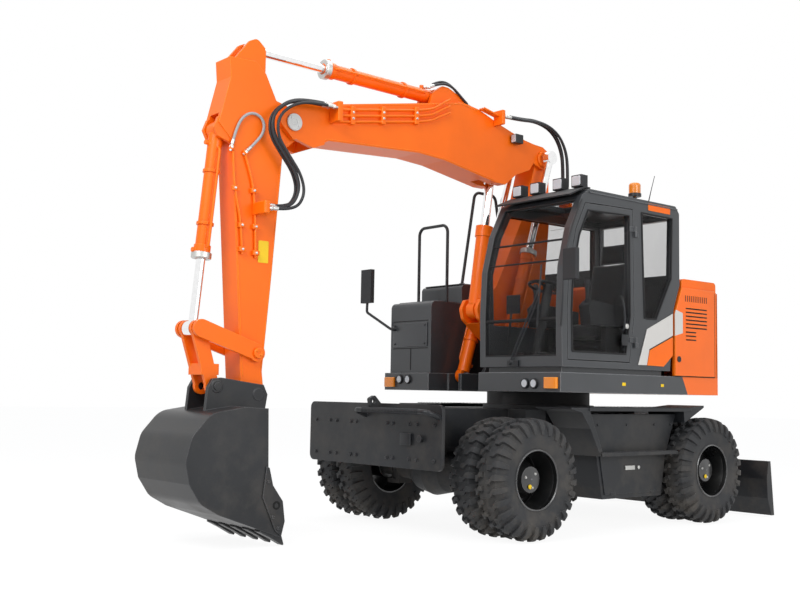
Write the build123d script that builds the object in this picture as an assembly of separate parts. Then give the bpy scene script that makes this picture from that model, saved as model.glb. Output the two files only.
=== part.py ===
from build123d import *
from math import atan2, cos, degrees, hypot, pi, radians, sin
import os

# A wheeled excavator with a two-piece boom, a rear dozer blade and twin tyres.
# Working frame: x forward, y to the driver's left, z up, the ground at z = 0, in millimetres.
# The finished part is moved once, so that its origin is the middle of its box, on the ground.

# ---------------------------------------------------------------- driving sizes
GAP = 0.3                 # seat of one piece on another
RUN = 8.0                 # running clearance of pieces that move past each other

FRONT_AXLE_X = 1200
REAR_AXLE_X = -1350
TYRE_RADIUS = 525
TYRE_WIDTH = 278
RIM_RADIUS = 262
RIM_WALL = 14
OUTER_TYRE_Y = 1130
INNER_TYRE_Y = 812
KINGPIN_Y = 600
HUB_RADIUS = 165
HUB_FACE_Y = (OUTER_TYRE_Y + INNER_TYRE_Y) / 2 - 25   # inner face of the wheel disc

FRAME_HALF = 330          # half width of the chassis box
FRAME_TOP = 1110
FRONT_PLATE_X = 1985      # ahead of the steered tyres' sweep
SLEW_X = -150
SLEW_RADIUS = 560

HOUSE_LOW = 1275          # underside of the upper structure
HOUSE_DECK = 1450
HOUSE_LEFT = 1220
HOUSE_RIGHT = -1220
HOUSE_FRONT = 880
TAIL_CORNER_X = -1500
TAIL_MIDDLE_X = -1850
CAB_MOUNT = 50            # height of the cab's mounts on the deck
CAB_LOW = HOUSE_DECK + CAB_MOUNT
CAB_RIGHT = 190
CAB_WALL = 60
CAB_ROOF = 3130
BAY_RIGHT = -530          # right side of the boom's bay
SKIN = 30                 # thickness of hood and panels
HOOD_LEVEL = 2320         # underside of the hood, top of the side panels

BOOM_Y = -170             # middle plane of the boom, arm and bucket
BOOM_WIDTH = 340
ARM_WIDTH = 236
CYL_SIDE = 270            # boom cylinders lie this far to each side
PIN = 40                  # radius of the main pins

BOOM_FOOT = (-50, HOUSE_DECK + 300)
ELBOW = (-200, 3700)      # joint of the lower and the upper boom
BOOM_TIP = (2930, 3540)
BUCKET_PIN = (3210, 1210)
BOOM_CYL_FOOT = (500, HOUSE_DECK - 20)
POSITION_CYL_FOOT = (590, 2080)
POSITION_CYL_EYE = (400, 3450)
ARM_CYL_FOOT = (1210, 4120)
ARM_CYL_EYE = (3260, 4140)
BUCKET_CYL_FOOT = (3585, 3390)
SIDE_LINK_PIN = (3220, 1550)
LINK_PIN = (3745, 1730)   # rod eye, side links and main link meet here
BUCKET_LINK_PIN = (3600, 1270)
BUCKET_WIDTH = 850
TOOTH_COUNT = 5

BLADE_PIVOT = (-1760, 560)
BLADE_X = -2450
BLADE_HALF = 1240
BLADE_LOW = 20
BLADE_HIGH = 590
BLADE_CYL_FOOT = (-1935, 960)
BLADE_CYL_EYE = (-2300, 420)
BLADE_CYL_Y = 330
BLADE_ARM_Y = 520

DOOR_HINGE = (-150, 1236, 2200)
HINGE_LEVELS = (CAB_LOW + 250, CAB_ROOF - 330)
HOOD_HINGE = (-1495, HOOD_LEVEL + 5)
HINGE_RADIUS = 14
TOW_EYE = (FRONT_PLATE_X + 110, 1165)
TOW_Y = 110
TOW_THICK = 40
TOW_EYE_RADIUS = 20

nodes = {}


# ---------------------------------------------------------------- helpers
def block(x0, x1, y0, y1, z0, z1):
    """A plain box between two corners."""
    return Pos((x0 + x1) / 2, (y0 + y1) / 2, (z0 + z1) / 2) * Box(x1 - x0, y1 - y0, z1 - z0)


def face_xz(outline, rounds=()):
    """A flat outline of (x, z) points; rounds lists ((x, z), radius) of corners to round."""
    face = make_face(Polyline(*outline, close=True))
    for corner, radius in rounds:
        face = fillet(face.vertices().sort_by_distance((corner[0], corner[1], 0))[0], radius)
    return face


def plate(outline, y0, y1, rounds=()):
    """A plate that stands fore and aft: an outline of (x, z) points, from y0 to y1."""
    face = outline if isinstance(outline, (Face, Sketch)) else face_xz(outline, rounds)
    return extrude(Plane.XZ.offset(-y1) * face, amount=y1 - y0)


def slab(outline, z0, z1, rounds=()):
    """A flat slab: an outline of (x, y) points, from z0 to z1."""
    return extrude(Pos(0, 0, z0) * face_xz(outline, rounds), amount=z1 - z0)


def bar_y(at, y0, y1, radius):
    """A round bar across the machine at (x, z)."""
    return Pos(at[0], (y0 + y1) / 2, at[1]) * Rot(90, 0, 0) * Cylinder(radius, y1 - y0)


def bar(p, q, radius):
    """A round bar from point p to point q."""
    start, end = Vector(*p), Vector(*q)
    plane = Plane(origin=start, z_dir=end - start)
    return extrude(plane * Circle(radius), amount=(end - start).length)


def tube(points, radius, bend):
    """A round tube through the points, its corners bent to one radius."""
    path = FilletPolyline(*points, radius=bend)
    section = Plane(origin=path @ 0, z_dir=path % 0) * Circle(radius)
    return sweep(section, path=path)


def group(shapes):
    """Several solids that don't touch, kept as one node."""
    return Compound([solid for shape in shapes for solid in shape.solids()])


def lerp(p, q, t):
    return (p[0] + (q[0] - p[0]) * t, p[1] + (q[1] - p[1]) * t)


def along(p, q, distance):
    """The point at a distance from p towards q."""
    return lerp(p, q, distance / hypot(q[0] - p[0], q[1] - p[1]))


# ---------------------------------------------------------------- cylinders
def ram(foot, eye, y, barrel_radius, rod_radius, closed, inward, width):
    """Barrel and rod of one hydraulic cylinder from its foot pin to its rod eye.
    closed is the barrel's length from the foot pin to the gland's face, inward is how far the
    rod can go in from its rest place, and width is that of the foot and the eye."""
    reach = hypot(eye[0] - foot[0], eye[1] - foot[1])
    tail = barrel_radius * 1.1
    at = lambda d: (along(foot, eye, d)[0], y, along(foot, eye, d)[1])
    barrel = bar(at(tail * 0.6), at(closed - 90), barrel_radius)
    barrel += bar(at(closed - 110), at(closed), barrel_radius * 1.16)
    barrel += bar_y(foot, y - width / 2, y + width / 2, tail)
    barrel -= bar(at(barrel_radius * 1.6), at(closed + 1), rod_radius + 1)
    barrel -= bar_y(foot, y - width, y + width, PIN * 0.8 + 1)
    rod = bar(at(barrel_radius * 1.6 + inward + RUN), at(reach - tail * 0.6), rod_radius)
    rod += bar_y(eye, y - width / 2, y + width / 2, tail)
    side = atan2(eye[1] - foot[1], eye[0] - foot[0]) + pi / 2
    for d in (tail * 1.9, closed - 60):
        p = along(foot, eye, d)
        near, far = rod_radius * 1.3, barrel_radius * 1.16 + 22
        barrel += bar((p[0] + cos(side) * near, y, p[1] + sin(side) * near),
                      (p[0] + cos(side) * far, y, p[1] + sin(side) * far), 20)
    return barrel, rod


# ---------------------------------------------------------------- undercarriage
def chassis_frame():
    side = [(1900, FRAME_TOP), (1900, 620), (1680, 620), (1600, 760), (800, 760), (640, 480),
            (-760, 480), (-980, 760), (-1650, 760), (-1700, 500), (-1830, 500), (-1850, FRAME_TOP)]
    body = plate(side, -FRAME_HALF, FRAME_HALF)
    body += slab([(620, 560), (500, 700), (-820, 700), (-920, 560), (-920, -560), (-820, -700),
                  (500, -700), (620, -560)], 960, FRAME_TOP)
    body += slab([(1830, 700), (1500, 700), (1500, -700), (1830, -700)], FRAME_TOP, FRAME_TOP + 12)
    for sign in (-1, 1):
        body += plate([(-1650, 700), (-1700, 500), (-1830, 500), (-1850, 700)],
                      min(sign * 200, sign * 560), max(sign * 200, sign * 560))
    body -= bar_y(BLADE_PIVOT, -600, 600, PIN + 1)
    for y in (-BLADE_CYL_Y, BLADE_CYL_Y):
        for side in (-1, 1):
            y0 = y + side * 66 - 10
            ear = plate([(-1800, 1060), (-1850, 1060), (BLADE_CYL_FOOT[0] - 30, 1010),
                         (BLADE_CYL_FOOT[0] - 50, 930), (-1840, 860), (-1800, 860)], y0, y0 + 20)
            body += ear
        body += bar_y(BLADE_CYL_FOOT, y - 70, y + 70, PIN * 0.8)
    body += Pos(SLEW_X, 0, FRAME_TOP + 20) * Cylinder(SLEW_RADIUS, 40)
    return body


def slewing_ring():
    low, high = FRAME_TOP + 40 + GAP, HOUSE_LOW - GAP
    ring = Pos(SLEW_X, 0, (low + high) / 2) * Cylinder(SLEW_RADIUS - 40, high - low)
    return ring - Pos(SLEW_X, 0, (low + high) / 2) * Cylinder(SLEW_RADIUS - 180, high - low + 2)


def front_plate():
    face, level = FRONT_PLATE_X + 30, 1150
    body = block(FRONT_PLATE_X, face, -940, 940, 600, level)
    body = fillet(body.edges().filter_by(Axis.X), 60)
    body += block(1900 + GAP, FRONT_PLATE_X, -FRAME_HALF, FRAME_HALF, 640, 1100)
    body += tube([(face - 5, -80, 1040), (2150, -80, 1090), (2150, 900, 1090), (face - 5, 900, 1040)], 22, 60)
    hook = plate([(face, level), (face, 1060), (face + 110, 1110), (face + 130, 1190), (face + 70, 1220),
                  (face + 30, 1180)], TOW_Y - TOW_THICK / 2, TOW_Y + TOW_THICK / 2,
                 [((face + 130, 1190), 20), ((face + 70, 1220), 20)])
    hook -= bar_y(TOW_EYE, TOW_Y - TOW_THICK, TOW_Y + TOW_THICK, TOW_EYE_RADIUS)
    return body + hook


def axle(x, steered):
    z = TYRE_RADIUS
    end = KINGPIN_Y - 95 if steered else INNER_TYRE_Y - TYRE_WIDTH / 2 - 30
    profile = [(0, -end), (0, end), (95, end), (105, 330), (190, 180), (225, 0), (190, -180),
               (105, -330), (95, -end)]
    body = Pos(x, 0, z) * revolve(make_face(Polyline(*profile, close=True)), Axis.Y)
    body += block(x - 110, x + 110, -190, 190, z, 760 - GAP)
    if steered:
        for sign in (-1, 1):
            for level in (-1, 1):
                ear = block(x - 80, x + 80, -75, 60, -22, 22)
                ear = Pos(0, sign * (KINGPIN_Y - 20), z + level * 130) * ear
                body += ear
            back = block(x - 80, x + 80, -20, 20, -150, 150)
            body += Pos(0, sign * (end + 5), z) * back
        body += bar((x - 190, -250, z + 40), (x - 190, 250, z + 40), 45)
        body += block(x - 200, x - 60, -60, 60, z - 10, z + 80)
    else:
        for sign in (-1, 1):
            body += Pos(x, sign * (end - 30), z) * Rot(90, 0, 0) * Cylinder(190, 60)
            reach = HUB_FACE_Y - GAP - end
            body += Pos(x, sign * (end + reach / 2), z) * Rot(90, 0, 0) * Cylinder(80, reach)
    return body


def knuckle(sign):
    x, z = FRONT_AXLE_X, TYRE_RADIUS
    body = Pos(x, sign * KINGPIN_Y, z) * Cylinder(58, 2 * (130 - 22) - 2 * GAP)
    y0, y1 = KINGPIN_Y, HUB_FACE_Y - GAP
    body += Pos(x, sign * (y0 + y1) / 2, z) * Rot(90, 0, 0) * Cylinder(80, y1 - y0)
    low, high = sorted((sign * KINGPIN_Y, sign * (KINGPIN_Y + 50)))
    body += block(x - 230, x, low, high, z - 25, z + 25)
    return body


def wheel_tyres(x, sign):
    crown, shoulder, side = TYRE_RADIUS, TYRE_RADIUS - 45, TYRE_RADIUS - 110
    half = TYRE_WIDTH / 2
    profile = [(RIM_RADIUS, -half + 30), (side, -half), (shoulder, -half + 12), (crown - 12, -half + 34),
               (crown, -half + 60), (crown, half - 60), (crown - 12, half - 34), (shoulder, half - 12),
               (side, half), (RIM_RADIUS, half - 30)]
    ring = revolve(make_face(Polyline(*profile, close=True)), Axis.Y)
    return Pos(x, sign * OUTER_TYRE_Y, crown) * ring + Pos(x, sign * INNER_TYRE_Y, crown) * ring


def wheel_hub(x, sign):
    half = TYRE_WIDTH / 2 - 30
    shell = [(RIM_RADIUS - GAP, -half), (RIM_RADIUS - GAP, half), (RIM_RADIUS - RIM_WALL, half),
             (RIM_RADIUS - RIM_WALL, -half)]
    ring = revolve(make_face(Polyline(*shell, close=True)), Axis.Y)
    middle = (OUTER_TYRE_Y + INNER_TYRE_Y) / 2
    rim_edge = RIM_RADIUS - RIM_WALL + 4
    disc = [(0, middle - 25), (rim_edge, middle - 25), (rim_edge, middle + 25), (HUB_RADIUS, middle + 25),
            (HUB_RADIUS, middle + 90), (110, middle + 200), (0, middle + 215)]
    disc = revolve(make_face(Polyline(*disc, close=True)), Axis.Y)
    gap = OUTER_TYRE_Y - INNER_TYRE_Y - 2 * half
    spacer = [(RIM_RADIUS - RIM_WALL, middle - gap / 2 - 1), (RIM_RADIUS - GAP, middle - gap / 2 - 1),
              (RIM_RADIUS - GAP, middle + gap / 2 + 1), (RIM_RADIUS - RIM_WALL, middle + gap / 2 + 1)]
    spacer = revolve(make_face(Polyline(*spacer, close=True)), Axis.Y)
    sleeve = [(82, 750), (112, 750), (112, HUB_FACE_Y + 1), (82, HUB_FACE_Y + 1)]
    sleeve = revolve(make_face(Polyline(*sleeve, close=True)), Axis.Y)
    body = Pos(0, OUTER_TYRE_Y, 0) * ring + Pos(0, INNER_TYRE_Y, 0) * ring + disc + spacer + sleeve
    if sign < 0:
        body = mirror(body, about=Plane.XZ)
    return Pos(x, 0, TYRE_RADIUS) * body


def transmission():
    body = block(-560, 60, -240, 180, 340, 480 - GAP)
    front = bar((50, 0, 405), (FRONT_AXLE_X - 245, 0, 460), 34)
    rear = bar((-550, 0, 405), (REAR_AXLE_X + 245, 0, 460), 34)
    return body + front + rear


def side_step():
    """Left side: two steps, the tool box between them and the wheel guard, carried by the frame."""
    box_side = plate([(420, 1080), (-960, 1080), (-800, 700), (-720, 300), (160, 300), (240, 700)],
                     700 + GAP, 1090)
    upper = block(-1080, 460, 760, 1200, 1110, 1140)
    lower = block(-835, 300, 900, 1210, 700, 730)
    guard = plate([(460, 1140), (700, 1140), (700, 1125), (560, 1100), (440, 950), (300, 700), (270, 730)],
                  760, 1190)
    tail = plate([(-960, 1140), (-1300, 1170), (-1300, 1150), (-980, 1000)], 760, 1190)
    return box_side + upper + lower + guard + tail


def blade():
    back = [(BLADE_X + 20, BLADE_HIGH), (BLADE_X - 40, BLADE_LOW), (BLADE_X + 10, BLADE_LOW),
            (BLADE_X + 80, 200), (BLADE_X + 90, 400), (BLADE_X + 60, BLADE_HIGH)]
    body = plate(back, -BLADE_HALF, BLADE_HALF)
    for sign in (-1, 1):
        arm = [(BLADE_PIVOT[0] + 70, 500), (BLADE_PIVOT[0] + 70, 620), (BLADE_PIVOT[0] - 60, 630),
               (BLADE_X + 60, 420), (BLADE_X + 60, 150), (BLADE_X + 300, 200)]
        y0, y1 = sign * (560 + GAP), sign * 620
        body += plate(arm, min(y0, y1), max(y0, y1))
        for side in (-1, 1):
            y = sign * BLADE_CYL_Y + side * 52
            ear = [(BLADE_X + 60, 250), (BLADE_X + 60, 520), (BLADE_CYL_EYE[0] + 50, 470),
                   (BLADE_CYL_EYE[0] + 50, 370)]
            body += plate(ear, y - 10, y + 10)
    body += block(BLADE_X + 60, BLADE_X + 110, -620, 620, 200, 260)
    body -= bar_y(BLADE_PIVOT, -700, 700, PIN)
    body += bar_y(BLADE_PIVOT, -620, -560 - GAP, PIN + 5) + bar_y(BLADE_PIVOT, 560 + GAP, 620, PIN + 5)
    return body


# ---------------------------------------------------------------- upper structure
def deck_outline():
    """The upper structure seen from above: straight sides, open at the boom's bay, bowed tail."""
    nose = Polyline((TAIL_CORNER_X, HOUSE_RIGHT), (HOUSE_FRONT, HOUSE_RIGHT), (HOUSE_FRONT, BAY_RIGHT),
                    (620, BAY_RIGHT), (620, CAB_RIGHT), (HOUSE_FRONT, CAB_RIGHT), (HOUSE_FRONT, HOUSE_LEFT),
                    (TAIL_CORNER_X, HOUSE_LEFT))
    tail = ThreePointArc((TAIL_CORNER_X, HOUSE_LEFT), (TAIL_MIDDLE_X, 0), (TAIL_CORNER_X, HOUSE_RIGHT))
    return make_face([*nose.edges(), tail])


def upper_frame():
    body = extrude(Pos(0, 0, HOUSE_LOW) * deck_outline(), amount=HOUSE_DECK - HOUSE_LOW)
    for y in (BOOM_Y - BOOM_WIDTH / 2 - 45, BOOM_Y + BOOM_WIDTH / 2 + 10):
        body += plate([(-420, HOUSE_DECK - 5), (-150, 1830), (-50, 1860), (50, 1830), (300, HOUSE_DECK - 5)],
                      y, y + 35, [((-50, 1860), 90)])
    for y in (BOOM_Y - CYL_SIDE, BOOM_Y + CYL_SIDE):
        body -= block(400, 700, y - 72, y + 72, HOUSE_LOW - 1, HOUSE_DECK + 1)
        body += bar_y(BOOM_CYL_FOOT, y - 82, y + 82, PIN * 0.8)
    body -= block(20, 700, BOOM_Y - BOOM_WIDTH / 2 + 10, BOOM_Y + BOOM_WIDTH / 2 - 10, HOUSE_LOW - 1,
                  HOUSE_DECK + 1)
    body += block(-640, 800, CAB_RIGHT + 60, HOUSE_LEFT - 60, HOUSE_DECK - 5, CAB_LOW - GAP)
    return body + bar_y(BOOM_FOOT, BOOM_Y - BOOM_WIDTH / 2 - 50, BOOM_Y + BOOM_WIDTH / 2 + 50, PIN)


CAB_PROFILE = [(860, CAB_LOW), (870, CAB_LOW + 500), (850, CAB_LOW + 900), (760, CAB_ROOF - 380),
               (600, CAB_ROOF - 70), (500, CAB_ROOF), (-800, CAB_ROOF), (-860, CAB_ROOF - 70),
               (-860, CAB_LOW + 850), (-760, CAB_LOW + 600), (-700, CAB_LOW)]
DOOR = [(790, CAB_LOW + 60), (800, CAB_LOW + 500), (780, CAB_LOW + 880), (690, CAB_ROOF - 390),
        (560, CAB_ROOF - 130), (-130, CAB_ROOF - 110), (-150, CAB_LOW + 500), (-80, CAB_LOW + 60)]
DOOR_WINDOW = [(730, CAB_LOW + 140), (740, CAB_LOW + 500), (720, CAB_LOW + 860), (640, CAB_ROOF - 440),
               (520, CAB_ROOF - 200), (-70, CAB_ROOF - 180), (-85, CAB_LOW + 500), (-20, CAB_LOW + 140)]
QUARTER = [(-260, CAB_ROOF - 130), (-740, CAB_ROOF - 130), (-720, CAB_LOW + 900), (-480, CAB_LOW + 490),
           (-300, CAB_LOW + 490)]
RIGHT_WINDOW = [(740, CAB_LOW + 400), (760, CAB_LOW + 880), (650, CAB_ROOF - 390), (520, CAB_ROOF - 150),
                (-740, CAB_ROOF - 140), (-740, CAB_LOW + 400)]
WINDSCREEN = (CAB_LOW + 100, CAB_ROOF - 110)     # low and high edge
REAR_WINDOW = (CAB_LOW + 950, CAB_ROOF - 130)


def cab_shell():
    outer = face_xz(CAB_PROFILE)
    body = plate(outer, CAB_RIGHT, HOUSE_LEFT)
    body = fillet(body.edges().filter_by(Axis.Y).sort_by(Axis.Z)[-4:], 30)
    inner = offset(face_xz(CAB_PROFILE), -CAB_WALL)
    body -= plate(inner, CAB_RIGHT + CAB_WALL, HOUSE_LEFT - CAB_WALL)
    body -= plate(DOOR, HOUSE_LEFT - CAB_WALL - 1, HOUSE_LEFT + 1)
    body -= plate(QUARTER, HOUSE_LEFT - CAB_WALL - 1, HOUSE_LEFT + 1)
    body -= plate(RIGHT_WINDOW, CAB_RIGHT - 1, CAB_RIGHT + CAB_WALL + 1)
    body -= block(560, 900, CAB_RIGHT + 70, HOUSE_LEFT - 70, *WINDSCREEN)
    body -= block(-900, -700, CAB_RIGHT + 80, HOUSE_LEFT - 80, *REAR_WINDOW)
    body -= block(-100, 420, CAB_RIGHT + 200, HOUSE_LEFT - 200, CAB_ROOF - 80, CAB_ROOF + 10)
    for z in HINGE_LEVELS:
        body += block(-200, DOOR_HINGE[0], HOUSE_LEFT - 1, HOUSE_LEFT + 12, z - 50, z)
        body += Pos(DOOR_HINGE[0], DOOR_HINGE[1], z - 25) * Cylinder(HINGE_RADIUS, 50)
    return body


def cab_glass():
    thin, inset = 6, 18
    outer = plate(offset(face_xz(CAB_PROFILE), -inset), 0, 1300)
    inner = plate(offset(face_xz(CAB_PROFILE), -inset - thin), 0, 1300)
    ring = outer - inner
    pane = ring & block(560 + GAP, 900, CAB_RIGHT + 70 + GAP, HOUSE_LEFT - 70 - GAP, WINDSCREEN[0] + GAP,
                        WINDSCREEN[1] - GAP)
    rear = ring & block(-900, -700, CAB_RIGHT + 80 + GAP, HOUSE_LEFT - 80 - GAP, REAR_WINDOW[0] + GAP,
                        REAR_WINDOW[1] - GAP)
    hatch = ring & block(-100 + GAP, 420 - GAP, CAB_RIGHT + 200 + GAP, HOUSE_LEFT - 200 - GAP, CAB_ROOF - 60,
                         CAB_ROOF)
    quarter = plate(offset(face_xz(QUARTER), -GAP), HOUSE_LEFT - 30, HOUSE_LEFT - 24)
    right = plate(offset(face_xz(RIGHT_WINDOW), -GAP), CAB_RIGHT + 24, CAB_RIGHT + 30)
    return group([s for g in (pane, rear, hatch, quarter, right) for s in g.solids()])


def cab_door():
    leaf = plate(offset(face_xz(DOOR), -RUN), HOUSE_LEFT - CAB_WALL, HOUSE_LEFT)
    leaf -= plate(DOOR_WINDOW, HOUSE_LEFT - CAB_WALL - 1, HOUSE_LEFT + 1)
    for z in HINGE_LEVELS:
        leaf += block(DOOR_HINGE[0], -88, HOUSE_LEFT + GAP, HOUSE_LEFT + 12, z + GAP, z + 50)
        leaf += block(-92, -70, HOUSE_LEFT - 1, HOUSE_LEFT + 12, z + GAP, z + 50)
        leaf += Pos(DOOR_HINGE[0], DOOR_HINGE[1], z + 25 + GAP / 2) * Cylinder(HINGE_RADIUS, 50 - GAP)
    return leaf


def cab_door_glass():
    return plate(offset(face_xz(DOOR_WINDOW), -GAP), HOUSE_LEFT - 30, HOUSE_LEFT - 24)


def seat():
    floor = CAB_LOW + CAB_WALL
    body = block(-380, 40, 520, 900, floor + GAP, floor + 240)
    body += block(-430, 110, 460, 960, floor + 240, floor + 370)
    back = [(-430, floor + 370), (-310, floor + 370), (-420, floor + 1080), (-520, floor + 1080)]
    return body + plate(back, 480, 940)


def consoles():
    floor = CAB_LOW + CAB_WALL
    bodies = []
    for y0, y1 in ((320, 450), (975, 1095)):
        arm = plate([(-250, floor + 340), (330, floor + 340), (360, floor + 520), (300, floor + 570),
                     (-250, floor + 520)], y0, y1)
        stick = bar((300, (y0 + y1) / 2, floor + 550), (310, (y0 + y1) / 2, floor + 740), 22)
        post = block(-120, 80, y0 + 30, y1 - 30, floor + GAP, floor + 350)
        bodies.append(arm + stick + post)
    return group(bodies)


def steering_column():
    floor = CAB_LOW + CAB_WALL
    column = bar((632, 700, floor + 40), (476, 700, floor + 695), 45)
    column += block(580, 690, 640, 760, floor + GAP, floor + 60)
    wheel = Pos(472, 700, floor + 702) * Rot(0, -14, 0) * (Torus(180, 16) + Cylinder(50, 30) + Box(350, 30, 14))
    pedals = [block(560, 700, y, y + 100, floor + GAP, floor + 80) for y in (800, 500)]
    return group([column + wheel, *pedals])


def roof_lamps():
    body = plate([(440, CAB_ROOF + 14), (505, CAB_ROOF + 14), (720, CAB_ROOF - 80), (730, CAB_ROOF - 68),
                  (512, CAB_ROOF + 26), (440, CAB_ROOF + 26)], CAB_RIGHT + 40, HOUSE_LEFT - 40)
    for y in (330, 560, 850, 1080):
        body += block(430, 520, y - 60, y + 60, CAB_ROOF + 35, CAB_ROOF + 145)
        body += block(455, 485, y - 15, y + 15, CAB_ROOF + GAP, CAB_ROOF + 40)
    return body


def engine():
    return block(-1450, -800, -700, 600, HOUSE_DECK + GAP, HOOD_LEVEL - 170)


def engine_hood():
    lid = block(-1480, -900, HOUSE_RIGHT + 5, HOUSE_LEFT - 5, HOOD_LEVEL + GAP, HOOD_LEVEL + 100)
    lid = fillet(lid.edges().filter_by(Axis.Y).sort_by(Axis.Z)[-2:], 40)
    lid += block(-1300, -950, -700, 300, HOOD_LEVEL + 100, HOOD_LEVEL + 280)
    for y in (-620, 580):
        lid += bar_y(HOOD_HINGE, y, y + 40, HINGE_RADIUS)
        lid += block(HOOD_HINGE[0], -1475, y, y + 40, HOOD_HINGE[1], HOOD_HINGE[1] + HINGE_RADIUS)
    return lid


def side_panels():
    left = block(-1480, -880, HOUSE_LEFT - SKIN, HOUSE_LEFT, HOUSE_DECK + GAP, HOOD_LEVEL)
    right = block(-1480, -420, HOUSE_RIGHT, HOUSE_RIGHT + SKIN, HOUSE_DECK + GAP, HOOD_LEVEL)
    fire = block(-790, -760, HOUSE_RIGHT + 40, CAB_RIGHT - RUN, HOUSE_DECK + GAP, HOOD_LEVEL)
    return group([left, right, fire])


def counterweight():
    tail = ThreePointArc((TAIL_CORNER_X, HOUSE_LEFT), (TAIL_MIDDLE_X, 0), (TAIL_CORNER_X, HOUSE_RIGHT))
    front = Polyline((TAIL_CORNER_X, HOUSE_RIGHT), (TAIL_CORNER_X, HOUSE_LEFT))
    top = HOOD_LEVEL - 10
    body = extrude(Pos(0, 0, HOUSE_DECK + GAP) * make_face([tail, *front.edges()]), amount=top - HOUSE_DECK - GAP)
    for y in (-660, 620 + GAP):
        body += bar_y(HOOD_HINGE, y, y + 40 - GAP, HINGE_RADIUS)
        body += block(TAIL_CORNER_X - 10, HOOD_HINGE[0] - 4, y, y + 40 - GAP, top - 20, HOOD_HINGE[1] - 4)
    return body


def right_boxes():
    rear = block(-420 + GAP, 420, -1180, BAY_RIGHT - 20, HOUSE_DECK + GAP, 2380)
    rear = fillet(rear.edges().filter_by(Axis.Y).sort_by(Axis.Z)[-2:], 50)
    front = block(420 + GAP, 840, -1180, BAY_RIGHT - 20, HOUSE_DECK + GAP, 2180)
    front = fillet(front.edges().filter_by(Axis.Y).sort_by(Axis.Z)[-1:], 60)
    return group([rear, front])


def handrails():
    low = tube([(620, -560, 2180 + GAP), (620, -560, 2980), (620, -1000, 2980), (620, -1000, 2180 + GAP)], 16, 80)
    high = tube([(370, -600, 2380 + 12), (200, -600, 3380), (-100, -600, 3380), (-290, -600, 2380 + 12)],
                16, 80)
    for x in (370, -290):
        high += bar((x, -600, 2380 + GAP), (x, -600, 2380 + 14), 30)
    return group([low, high])


def mirrors():
    arm = tube([(840 + GAP, -1100, 1900), (900, -1100, 1900), (920, -1500, 2100), (900, -1510, 2400)], 14, 40)
    head = block(880, 930, -1600, -1430, 2200, 2560)
    left = tube([(830, 1230, 2330), (900, 1300, 2400), (950, 1380, 2560), (960, 1400, 2400)], 12, 30)
    left += block(812, 845, HOUSE_LEFT + GAP, HOUSE_LEFT + 16, 2300, 2360)
    left_head = block(940, 985, 1330, 1480, 2250, 2520)
    return group([arm + head, left + left_head])


def beacon():
    post = bar((-700, 800, CAB_ROOF + GAP), (-700, 800, CAB_ROOF + 150), 14)
    lamp = Pos(-700, 800, CAB_ROOF + 215) * Cylinder(60, 130)
    return post + fillet(lamp.edges().sort_by(Axis.Z)[-1:], 30)


def base_lamps():
    lamps = []
    for y, z in ((800, 1350), (910, 1350), (-840, 1385), (-970, 1385)):
        lamps.append(bar((HOUSE_FRONT + GAP, y, z), (HOUSE_FRONT + 18, y, z), 42))
    for y in (1120, -1120):
        lamps.append(block(HOUSE_FRONT + GAP, HOUSE_FRONT + 30, y - 70, y + 70, 1310, 1400))
    return group(lamps)


# ---------------------------------------------------------------- working equipment
def lower_boom():
    half = BOOM_WIDTH / 2
    outline = [(-150, 1700), (60, 1660), (400, 1790), (660, 1985), (690, 2090), (640, 2180), (540, 2200),
               (420, 2330), (10, 3150), (-95, 3540), (-120, 3640), (-330, 3640), (-340, 3000), (-260, 2200),
               (-170, 1800)]
    body = plate(outline, BOOM_Y - half + 40, BOOM_Y + half - 40, [((660, 1985), 60), ((690, 2090), 60)])
    for y0 in (BOOM_Y - half + 40, BOOM_Y + half - 80):
        ear = plate([(-120, 3640), (-95, 3540), (-330, 3600), (-330, 3760), (-260, 3800), (-140, 3800),
                     (-80, 3740)], y0, y0 + 40)
        body += ear
    body += bar_y(BOOM_FOOT, BOOM_Y - half + 5, BOOM_Y + half - 5, 110)
    body -= bar_y(BOOM_FOOT, BOOM_Y - 300, BOOM_Y + 300, PIN + 1)
    body -= bar_y(ELBOW, BOOM_Y - 300, BOOM_Y + 300, PIN + 1)
    body -= block(430, 900, BOOM_Y - 88, BOOM_Y + 88, 1950, 2400)
    body += bar_y(POSITION_CYL_FOOT, BOOM_Y - half + 40, BOOM_Y + half - 40, PIN * 0.8)
    return body


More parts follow.
